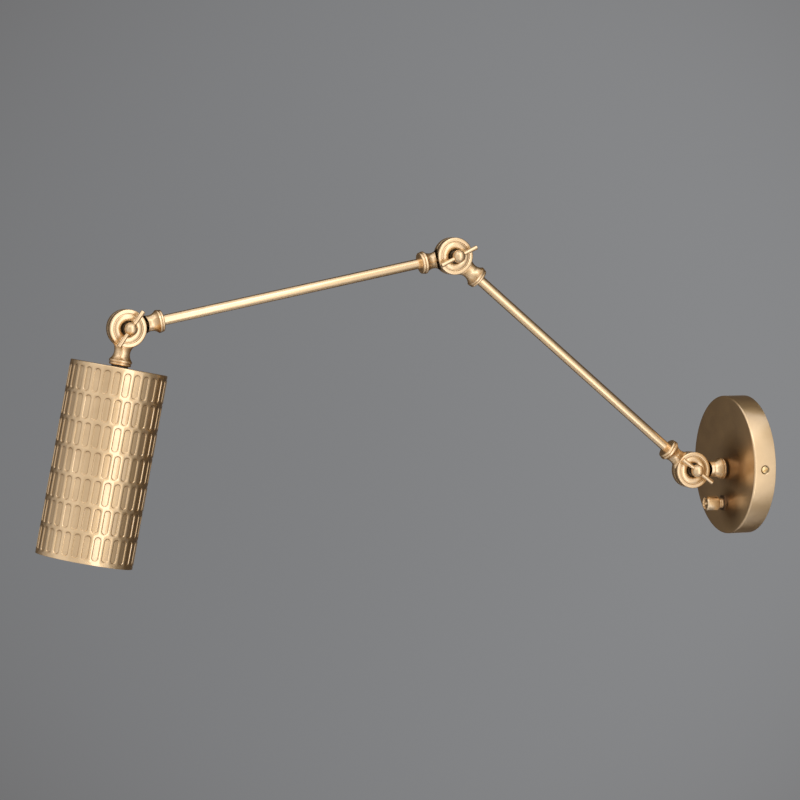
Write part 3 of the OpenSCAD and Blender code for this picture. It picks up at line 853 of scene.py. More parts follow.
@dataclass(frozen=True)
class Steel(Finish):
    """Zinc-plated steel with a faint spangle, between the plating's colour and that of its dull patches."""

    bright: Colour
    dull: Colour

    def dress(self, bench: Bench, surface: Node, place: Socket) -> None:
        """Gives the surface its spangle and dull patches."""
        spangle = bench.add("ShaderNodeTexVoronoi", Vector=place, Scale=0.7).outputs["Color"]
        tone = bench.add("ShaderNodeSeparateColor", Color=spangle).outputs[0]
        share = bench.times(bench.math("ADD", tone, bench.noise(place, 0.15, 4.0)), 0.5)
        metal = bench.blend(share, opaque(self.bright), opaque(self.dull))
        bench.wire(surface, Base_Color=metal, Metallic=1.0, Roughness=bench.span(share, 0.2, 0.8, 0.3, 0.48))


@dataclass(frozen=True)
class Moulding(Finish):
    """A moulded or pressed non-metal with a fine grain.

    Attributes:
        base: Main colour.
        fleck: Colour of the finer flecks.
        roughness: Mean roughness.
        grain: Distance between the grains in millimetres.
        relief: Strength of the grain's bump.
    """

    base: Colour
    fleck: Colour
    roughness: float
    grain: float
    relief: float = 0.15

    def dress(self, bench: Bench, surface: Node, place: Socket) -> None:
        """Gives the surface its grain and flecks."""
        grain = bench.noise(place, 1 / self.grain)
        share = bench.span(bench.math("ADD", grain, bench.noise(place, 0.1)), 0.8, 1.3, 0.0, 1.0)
        bench.wire(
            surface,
            Base_Color=bench.blend(share, opaque(self.base), opaque(self.fleck)),
            Roughness=bench.span(grain, 0.3, 0.7, self.roughness - 0.08, self.roughness + 0.08),
            Normal=bench.add("ShaderNodeBump", Strength=self.relief, Distance=0.0001, Height=grain).outputs[0],
        )


# Colour of the painted black shade in the deepest crevices.
SHADE_BLACK: Colour = (0.008, 0.005, 0.003)
CLOUD_SHARE = 0.12
STREAK_SHARE = 0.1
BRIGHT: Colour = (0.80, 0.52, 0.225)
# Colour of the aged metal, and also of the painted shade in recesses.
AGED_AND_SHADED: Colour = (0.18, 0.085, 0.025)
CAST_BRASS = CastBrass(
    "cast", "cast_brass", BRIGHT, (0.3, 0.14, 0.03), 0.36, 0.04, Marks.CAST, 2.5, 0.008, 0.8, 0.9, 0.2
)
SCREW_BRASS = ScrewBrass("screw", "cast_brass", BRIGHT, AGED_AND_SHADED, 0.4, 0.04, Marks.TURNED, 0.4, 0.02, 0.6, 0.9, 0.28)
TUBE_BRASS = Brass("tube", "tube_brass", BRIGHT, AGED_AND_SHADED, 0.3, 0.04, Marks.DRAWN, 0.9, 0.01, 1.0, 0.9)
PLATE_BRASS = SpunBrass("plate", "plate_brass", BRIGHT, AGED_AND_SHADED, 0.33, 0.08, Marks.TURNED, 0.22, 0.12, 1.5, 0.9, 0.22)
SHADE_BRASS = Brass("shade", "shade_brass", BRIGHT, (0.2, 0.1, 0.04), 0.32, 0.06, Marks.TURNED, 0.3, 0.05, 0.4, 0.9)
KNOB_BRASS = Brass("knob", "knob_brass", (0.86, 0.6, 0.3), AGED_AND_SHADED, 0.28, 0.08, Marks.TURNED, 0.25, 0.1, 0.8, 0.9)
PLAIN_BRASS = Brass("plain", "plain_brass", (0.83, 0.60, 0.30), AGED_AND_SHADED, 0.3, 0.12, Marks.TURNED, 0.3, 0.08, 0.8, 0.0)
DARK_NUT = Brass("dark_nut", "plain_brass", (0.20, 0.12, 0.06), (0.08, 0.05, 0.03), 0.35, 0.1, Marks.TURNED)
ZINC = Steel("zinc", "zinc_steel", (0.66, 0.66, 0.65), (0.50, 0.51, 0.53))
DARK_RUBBER = Moulding("spacer", "dark_spacer", (0.03, 0.026, 0.022), (0.05, 0.045, 0.04), 0.55, 0.3)
FIBRE = Moulding("fibre", "washer_fibre", (0.07, 0.05, 0.035), (0.13, 0.09, 0.06), 0.7, 0.25, 0.3)
BLACK_PLASTIC = Moulding("black", "black_plastic", (0.022, 0.022, 0.023), (0.035, 0.035, 0.036), 0.42, 0.25)
IVORY_PLASTIC = Moulding("ivory", "ivory_plastic", (0.76, 0.72, 0.61), (0.80, 0.77, 0.68), 0.38, 0.4, 0.08)


def install(
    name: str, solid: Solid, place: Matrix, finish: Finish, body: Body, *nodes: str, smooth: float = 32.0
) -> bpy.types.Object:
    """Puts a finished solid on the lamp.

    Args:
        name: Name of the piece.
        solid: Its shape in the workshop frame.
        place: Matrix from the workshop frame to the lamp.
        finish: Its finish.
        body: The body that it rides on.
        *nodes: The nodes of the frame that it stands for.
        smooth: Edges flatter than this many degrees are shaded smooth.

    Returns:
        The piece's object.
    """
    mesh = solid.mesh.copy()
    mesh.name = name
    flat = [0.0] * (3 * len(mesh.vertices))
    mesh.vertices.foreach_get("co", flat)
    mesh.attributes.new(LOCAL, "FLOAT_VECTOR", "POINT").data.foreach_set("vector", flat)
    mesh.transform(place)
    mesh.shade_smooth()
    mesh.set_sharp_from_angle(angle=math.radians(smooth))
    mesh.materials.clear()
    mesh.materials.append(finish.material())
    piece = shown(name, mesh)
    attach(piece, body.value)
    if nodes:
        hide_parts(*nodes)
    return piece


@dataclass
class Assembly:
    """A sub-assembly of the lamp, which makes its pieces and sets them on the frame."""

    bones: Skeleton

    def fit(self) -> Pieces:
        """Makes the pieces and sets them on the lamp.

        Yields:
            The pieces, one after the other.
        """
        raise NotImplementedError


@dataclass
class Knuckles(Assembly):
    """The three clamped joints: castings, washers, cap nuts, screws and tommy bars.

    Attributes:
        cheek_lap: How far a neck reaches in past the edge of its own cheek.
        mating_face: Distance of a cheek's inner face from the middle of its joint.
        neck_gap: Width of the gap between a neck and the edge of the other cheek.
        room: Half the height of the cutter that clears a neck round the cheeks.
        washer_r: Inner and outer radius of a friction washer.
        ball_reach: Distance of the ball's middle from the middle of its joint.
        flare_meets: How many degrees below the ball's widest point its neck meets it.
        bar_flare: Length of the taper at either end of a bar.
    """

    cheek_r: float = 15.7
    cheek_face: float = 6.25
    cheek_lap: float = 1.1
    mating_face: float = 0.4
    neck_len: float = 30.6
    neck_r: float = 6.6
    waist_at: float = 19.8
    neck_root: float = 5.7
    neck_gap: float = 2.0
    room: float = 20.0
    collar_r: float = 9.5
    end_ring_r: float = 9.1
    collar_w: float = 1.8
    end_ring_w: float = 1.9
    collar_groove_w: float = 0.5
    collar_groove_r: float = 8.6
    socket_floor: float = 20.6
    socket_fit: float = 0.02
    cable_bore_r: float = 2.5
    cable_start: float = 9.2
    well_r: float = 6.2
    well_floor: float = 2.6
    ring_mid: float = 8.9
    ring_r: float = 6.0
    groove_r: float = 12.4
    groove_depth: float = 0.6
    channel_in_r: float = 7.0
    channel_out_r: float = 11.4
    channel_floor: float = 2.4
    hole_r: float = 3.05
    play: float = 0.05
    washer_r: Point = (12.0, 15.1)
    washer_low: float = -0.35
    nut_flats: float = 10.0
    nut_hex_h: float = 4.6
    nut_dome_r: float = 4.4
    screw_r: float = 3.0
    screw_neck_r: float = 3.4
    shoulder_r: float = 4.6
    shoulder_t: float = 1.6
    ball_r: float = 5.4
    ball_reach: float = 13.9
    flare_meets: float = 30.0
    bar_r: float = 1.65
    bar_end_r: float = 1.9
    bar_flare: float = 9.0
    bar_len: float = 35.0
    tube_r: float = 4.25
    tube_wall: float = 1.0
    nipple_r: float = 5.0
    nipple_bore_r: float = 3.5
    spacer_r: float = 7.0
    spacer_t: float = 1.4

    def cheek(self) -> Solid:
        """The round cheek about local Z, with its well, rounded ring, groove and rim."""
        face, mating, well_floor = self.cheek_face, self.mating_face, self.well_floor
        ring_z = face - self.ring_r
        groove_z = face - self.groove_depth
        out_angle = math.degrees(math.asin((groove_z - ring_z) / self.ring_r))
        profile = [
            (self.hole_r, mating, 0.1), (self.channel_in_r, mating), (self.channel_in_r, self.channel_floor),
            (self.channel_out_r, self.channel_floor), (self.channel_out_r, mating), (self.cheek_r, mating, 0.35),
            (self.cheek_r, face, 0.95), (self.groove_r, face, 0.25), (self.groove_r, groove_z, 0.15),
            *arc((self.ring_mid, ring_z), self.ring_r, out_angle, 178 - out_angle, 24),
            (self.well_r, groove_z - 0.1, 0.1), (self.well_r, well_floor, 0.4), (self.hole_r, well_floor, 0.2),
        ]
        return Solid.turned(profile, segments=128, closed=True)

    def neck(self) -> Solid:
        """The waisted neck with its two collar rings, about local X, oval where it meets the cheek."""
        start = self.neck_len - self.end_ring_w - self.collar_groove_w - self.collar_w
        ring_end = start + self.collar_w
        groove_end = ring_end + self.collar_groove_w
        run, rise = start - self.waist_at, self.collar_r - self.neck_r
        waist_r = (run**2 / rise + rise) / 2
        lip = math.degrees(math.asin(run / waist_r))
        profile = [
            (0, self.waist_at - run),
            *arc((self.neck_r + waist_r, self.waist_at), waist_r, 180 + lip, 180 - lip, 40)[:-1],
            (self.collar_r, start, 0.12), (self.collar_r, ring_end, 0.45),
            (self.collar_groove_r, ring_end, 0.1), (self.collar_groove_r, groove_end, 0.1),
            (self.end_ring_r, groove_end, 0.45), (self.end_ring_r, self.neck_len, 1.2), (0, self.neck_len),
        ]
        neck = Solid.turned(profile, segments=112).moved(TO_X)
        for vert in neck.mesh.vertices:
            inward = max(0.0, self.waist_at - vert.co.x)
            round_r = self.neck_r + waist_r - math.sqrt(waist_r**2 - inward**2)
            oval_r = self.neck_r - (self.neck_r - self.neck_root) * inward / (self.waist_at - self.cheek_r)
            vert.co.z *= oval_r / round_r
        return neck

    def casting(self, bore_r: float) -> Solid:
        """One half of a joint: cheek, neck and collar in one, with its bores.

        Args:
            bore_r: Radius of the tube or nipple that goes into the collar.

        Returns:
            The casting, its axis along local Z and its neck along local X.
        """
        clear_r, inside_r = self.cheek_r + self.neck_gap, self.cheek_r - self.cheek_lap
        room = [
            (0, -self.room), (clear_r, -self.room), (clear_r, self.mating_face),
            (inside_r, self.mating_face), (inside_r, self.room), (0, self.room),
        ]
        socket_r, past = bore_r + self.socket_fit, self.neck_len + 1
        bores = [
            (0, self.cable_start), (self.cable_bore_r, self.cable_start), (self.cable_bore_r, self.socket_floor),
            (socket_r, self.socket_floor), (socket_r, past), (0, past),
        ]
        neck = self.neck().less(Solid.turned(room, segments=128))
        return self.cheek().joined(neck).less(Solid.turned(bores).moved(TO_X))

    def cap_nut(self) -> Solid:
        """The domed nut in the well behind a joint."""
        side_r, dome_r, floor = corner_radius(self.nut_flats) + 0.2, self.nut_dome_r, self.well_floor
        top = floor + self.nut_hex_h
        turning = [(0, floor), (side_r, floor), (side_r, top - 0.9), (self.nut_flats / 2 - 0.1, top, 0.1), (0, top)]
        blank = Solid.prism(hexagon(self.nut_flats), floor - 1, top + 1).common(Solid.turned(turning))
        dome = [(0, top - 1), (dome_r, top - 1), *arc((0, top), dome_r, 0, 90, 16)[:-1], (0, top + dome_r)]
        return blank.joined(Solid.turned(dome)).less(rod(self.hole_r, 0, top + dome_r / 3 + self.play))

    def screw(self) -> Solid:
        """The ball-headed clamp screw, with the cross hole for its bar."""
        tip = self.well_floor + self.nut_hex_h + self.nut_dome_r / 3
        seat_z = self.well_floor + self.play
        shoulder_top = seat_z + self.shoulder_t
        meet = math.radians(self.flare_meets)
        meet_r, meet_z = self.ball_r * math.cos(meet), self.ball_reach - self.ball_r * math.sin(meet)
        profile = [
            (0, -tip), (self.screw_r - 0.6, -tip), *ridged(self.screw_r, -tip + 0.6, 0.3, 1.0, 0.4),
            (self.screw_r, 0.4), (self.screw_r, seat_z), (self.shoulder_r, seat_z, 0.2),
            (self.shoulder_r, shoulder_top, 0.3), (self.screw_neck_r, shoulder_top, 0.4),
            (self.screw_neck_r, self.cheek_face, 1.5), (meet_r, meet_z, 0.3),
            *arc((0, self.ball_reach), self.ball_r, -self.flare_meets + 4, 90, 26)[:-1],
            (0, self.ball_reach + self.ball_r),
        ]
        hole = rod(self.bar_r + self.socket_fit, -self.ball_r - 1, self.ball_r + 1, 48)
        return Solid.turned(profile, segments=80).less(self.across(hole))

    def across(self, solid: Solid) -> Solid:
        """A solid turned from local Z to local X, at the height of the ball."""
        return solid.moved(Matrix.Translation((0, 0, self.ball_reach)) @ TO_X)

    def bar(self) -> Solid:
        """The tommy bar along local X, at the height of the ball."""
        half = self.bar_len / 2
        side = [(self.bar_r, half - self.bar_flare, 3.0), (self.bar_end_r, half, 0.3)]
        mirrored = [(radius, -along, fillet) for radius, along, fillet in reversed(side)]
        return self.across(Solid.turned([(0, -half), *mirrored, *side, (0, half)], segments=56))

    def tube(self, arm_len: float) -> Solid:
        """An arm's tube along local Z, from socket floor to socket floor."""
        radii = (self.tube_r - self.tube_wall, self.tube_r)
        return sleeve(radii, self.socket_floor, arm_len - self.socket_floor, 0.1, 0.2)

    def nipple(self, reach: float) -> Solid:
        """A threaded nipple along local Z, from the socket floor to a distance from the joint."""
        thread = ridged(self.nipple_r - self.socket_fit, self.socket_floor, reach, 1.0, 0.45)
        ends = [(self.nipple_bore_r, self.socket_floor, 0.2), (self.nipple_bore_r, reach, 0.2)]
        return Solid.turned([ends[0], *thread, ends[1]], segments=72, closed=True)

    def spacer(self) -> Solid:
        """The dark spacer under a collar, along local Z."""
        radii = (self.nipple_r + self.socket_fit, self.spacer_r)
        return sleeve(radii, self.neck_len, self.neck_len + self.spacer_t, 0.1, 0.3)

    def fit(self) -> Pieces:
        """Sets every joint, tube and clamp on the lamp."""
        bones, at = self.bones, self.bones.at
        arm_casting, stem_casting = self.casting(self.tube_r), self.casting(self.nipple_r)
        stem = ("stem_casting", stem_casting, "base", -bones.from_wall, bones.back, Body.WALL_MOUNT, "base_knuckle")
        head = ("shade_casting", stem_casting, "shade", bones.shade_axis, bones.front, Body.SHADE_HEAD, "shade_knuckle")
        castings, tubes = [stem], []
        for arm, start, end, outward, body in (
            ("lower", "base", "elbow", bones.front, Body.LOWER_ARM),
            ("upper", "elbow", "shade", bones.back, Body.UPPER_ARM),
        ):
            run = at[end] - at[start]
            along = run.normalized()
            place = axial(at[start], along)
            tubes.append((f"{arm}_rod", self.tube(run.length / MM), place, TUBE_BRASS, body, f"{arm}_arm_tube"))
            for joint, way in ((start, along), (end, -along)):
                node = f"{arm}_arm_{joint}_knuckle"
                castings.append((f"{arm}_{joint}_casting", arm_casting, joint, way, outward, body, node))
        for name, solid, joint, along, outward, body, node in (*castings, head):
            yield install(name, solid, seat(at[joint], along, outward), CAST_BRASS, body, node, smooth=40.0)
        for tube in tubes:
            yield install(*tube)
        first, *others = (seat(point, bones.from_wall, bones.back) for point in at.values())
        washer = sleeve(self.washer_r, self.washer_low, self.mating_face, 0.15, 0.15)
        for label, solid, finish in (("friction_washer", washer, FIBRE), ("cap_nut", self.cap_nut(), CAST_BRASS)):
            yield install(f"wall_joint_{label}", solid, first, finish, Body.WALL_MOUNT, f"base_{label}")
            near, far = (solid.moved(first.inverted() @ place) for place in others)
            yield install(f"arm_{label}s", near.beside(far), first, finish, Body.UPPER_ARM, f"upper_arm_{label}s")
        for label, point in at.items():
            place = seat(point, bones.bar_direction(f"{label}_tommy_bar"), bones.front)
            body = Body(f"{label}_clamp")
            yield install(f"{label}_ball_screw", self.screw(), place, SCREW_BRASS, body, f"{label}_clamp_screw")
            yield install(f"{label}_bar", self.bar(), place, SCREW_BRASS, body, f"{label}_tommy_bar")


class FluteRows:
    """A Geometry Nodes tree that sets one flute tile round a shade in staggered rows."""

    inputs = (
        ("Flutes in a row", "NodeSocketInt", 30),
        ("Rows", "NodeSocketInt", 7),
        ("Row pitch", "NodeSocketFloat", 22.2),
        ("Weld distance", "NodeSocketFloat", 0.002),
        ("Metal", "NodeSocketMaterial", None),
    )

    def __init__(self) -> None:
        """Builds the tree."""
        self.tree = bpy.data.node_groups.new("flute_rows", "GeometryNodeTree")
        face = self.tree.interface
        face.new_socket("Tile", in_out="INPUT", socket_type="NodeSocketGeometry")
        self.ids = {}
        for name, kind, value in self.inputs:
            socket = face.new_socket(name, in_out="INPUT", socket_type=kind)
            if value is not None:
                socket.default_value = value
            self.ids[name] = socket.identifier
        face.new_socket("Skin", in_out="OUTPUT", socket_type="NodeSocketGeometry")
        bench = Bench(self.tree)
        given = bench.add("NodeGroupInput").outputs
        index = bench.add("GeometryNodeInputIndex").outputs[0]
        flutes = given["Flutes in a row"]
        row = bench.math("FLOOR", bench.math("DIVIDE", bench.math("ADD", index, 0.5), flutes))
        turns = bench.math("DIVIDE", bench.math("ADD", index, bench.times(row, 0.5)), flutes)
        spot = bench.add("ShaderNodeCombineXYZ", Z=bench.times(row, given["Row pitch"])).outputs[0]
        euler = bench.add("ShaderNodeCombineXYZ", Z=bench.times(turns, math.tau)).outputs[0]
        turned = bench.add("FunctionNodeEulerToRotation", Euler=euler).outputs[0]
        made = bench.add("GeometryNodePoints", Count=bench.times(flutes, given["Rows"]), Position=spot)
        for kind, entry, more in (
            ("InstanceOnPoints", "Points", {"Instance": given["Tile"], "Rotation": turned}),
            ("RealizeInstances", "Geometry", {}),
            ("MergeByDistance", "Geometry", {"Distance": given["Weld distance"]}),
            ("SetMaterial", "Geometry", {"Material": given["Metal"]}),
        ):
            made = bench.add(f"GeometryNode{kind}", **{entry: made.outputs[0]}, **more)
        bench.add("NodeGroupOutput", Skin=made.outputs[0])

    def applied(self, tile: Mesh, **values: object) -> Mesh:
        """Runs the tree on a tile.

        Args:
            tile: The mesh of one tile.
            **values: The tree's inputs by name, with _ for a space.

        Returns:
            The plain mesh of all the tiles.
        """
        holder = shown("tile", tile)
        modifier = holder.modifiers.new("rows", "NODES")
        modifier.node_group = self.tree
        for name, value in values.items():
            modifier[self.ids[name.replace("_", " ")]] = value
        return evaluated(holder)


@dataclass
class FlutedShade(Assembly):
    """The open-ended tube shade with rows of pressed flutes, and its fixings.

    Attributes:
        top: Distance of the shade's top from its joint.
        straight: Half the length of a flute's straight sides.
        foot_line_w: Width of the band of patina and painted shade at the foot of a flute's slope.
        crown_shade: How much painted shade darkens the upper arc of a flute.
        phase: Turn of the first row of flutes in degrees.
        spare: Length of the nipple past its nut.
    """

    knuckles: Knuckles
    radius: float = 40.0
    length: float = 160.0
    wall: float = 1.2
    edge_r: float = 0.8
    lip_r: float = 0.3
    top: float = 32.0
    rows: int = 7
    flutes: int = 30
    flute_len: float = 20.0
    flute_w: float = 6.0
    straight: float = 7.0
    flute_depth: float = 0.6
    slope_w: float = 0.85
    foot_line_w: float = 0.4
    crown_shade: float = 1.2
    row_gap: float = 2.2
    phase: float = 4.0
    edge_steps: int = 8
    arc_steps: int = 12
    hole_r: float = 5.02
    nut_flats: float = 14.0
    nut_t: float = 3.0
    spare: float = 6.0

    def all_round(self, upper: list[Point]) -> list[Point]:
        """The whole outline whose upper half is given, from its right side round by its top."""
        side = upper[0][0]
        return [*upper, (-side, 0.0), *[(-u, -v) for u, v in upper], (side, 0.0)]

    def outline(self, inset: float) -> list[Point]:
        """A flute's rounded outline.

        Args:
            inset: How far inside the flute's edge it lies.

        Returns:
            The outline's points.
        """
        half_w = self.flute_w / 2 - inset
        angles = [math.pi * i / self.arc_steps for i in range(self.arc_steps + 1)]
        return self.all_round([(half_w * math.cos(a), self.straight + half_w * math.sin(a)) for a in angles])

    def border(self) -> list[Point]:
        """The tile's rectangular border, with as many points as a flute's outline."""
        half_w, half_h = math.pi * self.radius / self.flutes, (self.flute_len + self.row_gap) / 2
        side = [(half_w, self.straight), (half_w, (self.straight + half_h) / 2)]
        across = [(half_w * (1 - 2 * i / self.edge_steps), half_h) for i in range(self.edge_steps + 1)]
        return self.all_round([*side, *across, *[(-u, v) for u, v in reversed(side)]])

    def tile(self) -> Mesh:
        """One flute and the ribs round it, bent to the shade, its middle towards local -Y."""
        work = bmesh.new()
        patina_and_shade = work.verts.layers.float.new(PATINA_AND_SHADE_ATTR)
        border = [(u / self.radius, v) for u, v in self.border()]
        edge = [(math.asin(u / self.radius), v) for u, v in self.outline(0.0)]
        loops = [
            [work.verts.new((self.radius * math.sin(a), -self.radius * math.cos(a), v)) for a, v in loop]
            for loop in (border, edge)
        ]
        slope, width = self.slope_w, self.flute_w
        for inset, share in (
            (slope * 0.25, 0.12), (slope * 0.75, 0.85), (slope, 1.0),
            (slope + self.foot_line_w, 1.0), (width * 0.33, 1.0), (width * 0.45, 1.0),
        ):
            depth_r = self.radius - self.flute_depth * share
            loops.append([work.verts.new((u, -math.sqrt(depth_r**2 - u**2), v)) for u, v in self.outline(inset)])
        # Each loop's share of patina and painted shade; more painted shade is added towards the flute's upper arc.
        for loop, share in zip(loops, (0.0, 0.1, 0.35, 0.4, 0.3, 0.2, 0.2, 0.2)):
            for vert in loop:
                crown = max(0.0, -vert.co.z - self.straight) / (width / 2)
                vert[patina_and_shade] = share * (0.8 + crown * self.crown_shade)
        for outer, inner in zip(loops, loops[1:]):
            bridge(work, outer, inner)
        work.faces.new(loops[-1])
        return mesh_of(work, "flute_tile")

    def shell(self) -> Solid:
        """The whole shade along local Z, from the shade joint's point of view."""
        pitch, metal = self.flute_len + self.row_gap, SHADE_BRASS.material()
        tiles = FluteRows().applied(
            self.tile(), Flutes_in_a_row=self.flutes, Rows=self.rows, Row_pitch=pitch, Metal=metal
        )
        margin = (self.length - self.rows * pitch) / 2
        turn = Matrix.Rotation(math.radians(self.phase), 4, "Z")
        tiles.transform(Matrix.Translation((0, 0, self.top + margin + pitch / 2)) @ turn)
        end, under, inner = self.top + self.length, self.top + self.wall, self.radius - self.wall
        profile = [
            (self.radius, self.top + margin), (self.radius, self.top, self.edge_r), (self.hole_r, self.top, 0.1),
            (self.hole_r, under, 0.1), (inner, under, 0.6), (inner, end, self.lip_r),
            (self.radius, end, self.lip_r), (self.radius, end - margin),
        ]
        rest = Solid.turned(profile, segments=self.flutes * self.edge_steps, steps=5, start=self.phase - 90)
        work = bmesh.new()
        work.from_mesh(tiles)
        work.from_mesh(rest.mesh)
        bmesh.ops.remove_doubles(work, verts=work.verts, dist=0.003)
        return Solid.from_bmesh(work)

    def fit(self) -> Pieces:
        """Sets the shade, its spacer, nipple and locknut on the lamp."""
        place = axial(self.bones.at["shade"], self.bones.shade_axis)
        body, under = Body.SHADE_HEAD, self.top + self.wall
        nipple = self.knuckles.nipple(under + self.nut_t + self.spare)
        nut = hex_nut(self.nut_flats, self.nut_t, self.knuckles.nipple_r).raised(under)
        yield install("fluted_shade", self.shell(), place, SHADE_BRASS, body, "shade", smooth=21.0)
        yield install("shade_gasket", self.knuckles.spacer(), place, DARK_RUBBER, body, "shade_spacer")
        yield install("shade_thread", nipple, place, PLAIN_BRASS, body, "shade_nipple")
        yield install("shade_inner_nut", nut, place, ZINC, body, "shade_locknut")


@dataclass
class Lampholder(Assembly):
    """The moulded lampholder inside the shade, with its threaded shell and contact.

    Attributes:
        start: Distance of the cap from the shade's joint.
        cap_step: How much smaller the cap's radius is than the holder's.
        sheet: Thickness of the threaded shell.
        wave: How far inside the socket the thread's middle lies, and how far it swings either way.
        thread_ends: Distances of the thread's ends from the socket's floor and rim.
        contact_r: Radii of the contact's foot and top.
        contact_h: Heights of the contact's shoulder and tip.
    """

    start: float = 36.2
    cap_len: float = 18.0
    body_len: float = 38.0
    radius: float = 17.5
    cap_top_r: float = 8.0
    cap_step: float = 1.0
    cap_wall: float = 3.0
    grip_h: float = 4.0
    grip_t: float = 1.0
    socket_r: float = 13.5
    socket_depth: float = 30.0
    nipple_r: float = 5.0
    sheet: float = 0.3
    pitch: float = 3.6
    pitch_steps: int = 8
    wave: Point = (0.75, 0.45)
    thread_ends: Point = (6.0, 3.0)
    contact_r: Point = (3.2, 2.6)
    contact_h: Point = (2.4, 2.8)

    @property
    def floor(self) -> float:
        """The bottom of the holder's socket."""
        return self.body_len - self.socket_depth

    def cap(self) -> Solid:
        """The stepped cap that screws onto the nipple."""
        grip, cap_r = self.cap_len / 3, self.radius - self.cap_step
        bore_r = cap_r - self.cap_wall
        profile = [
            (self.nipple_r, 0, 0.3), (self.cap_top_r, 0, 1.0), (cap_r, grip, 1.5), (cap_r, self.cap_len, 0.3),
            (bore_r, self.cap_len, 0.3), (bore_r, grip, 1.0), (self.nipple_r, grip, 0.3),
        ]
        return Solid.turned(profile, closed=True)

    def holder(self) -> Solid:
        """The open-ended holder with its fluted grip ring."""
        grip_r = self.radius + self.grip_t
        profile = [
            (0, 0), (grip_r, 0, 0.5), (grip_r, self.grip_h, 0.5), (self.radius, self.grip_h, 0.3),
            *ridged(self.radius, self.grip_h + 4, self.body_len - 6, 3.0, 0.5),
            (self.radius, self.body_len, 0.8), (self.socket_r, self.body_len, 0.6),
            (self.socket_r, self.floor, 0.6), (0, self.floor),
        ]
        return Solid.turned(profile)

    def thread(self) -> Solid:
        """The thin brass shell with the lamp's rounded thread."""
        low, high = self.floor + self.thread_ends[0], self.body_len - self.thread_ends[1]
        steps = self.pitch_steps * round((high - low) / self.pitch)
        middle_r = self.socket_r - self.wave[0]
        turns = [math.tau * i / self.pitch_steps for i in range(steps + 1)]
        wave = [
            (middle_r + self.wave[1] * math.cos(turn), low + (high - low) * i / steps) for i, turn in enumerate(turns)
        ]
        outer = [(r + self.sheet / 2, z) for r, z in wave]
        return Solid.turned([*outer, *[(r - self.sheet / 2, z) for r, z in reversed(wave)]], closed=True)

    def contact(self) -> Solid:
        """The sprung contact on the holder's floor."""
        (foot_r, top_r), (shoulder, tip), floor = self.contact_r, self.contact_h, self.floor
        profile = [(0, floor), (foot_r, floor, 0.2), (top_r, floor + shoulder, 0.6), (0, floor + tip)]
        return Solid.turned(profile, segments=48)

    def fit(self) -> Pieces:
        """Sets the lampholder on the lamp."""
        place = axial(self.bones.at["shade"], self.bones.shade_axis)
        for name, solid, down, finish, *nodes in (
            ("holder_cap", self.cap(), 0.0, BLACK_PLASTIC, "lampholder_cap"),
            ("holder_skirt", self.holder(), self.cap_len, BLACK_PLASTIC, "lampholder_body"),
            ("holder_thread", self.thread(), self.cap_len, PLAIN_BRASS),
            ("holder_contact", self.contact(), self.cap_len, PLAIN_BRASS),
        ):
            yield install(name, solid.raised(self.start + down), place, finish, Body.SHADE_HEAD, *nodes)


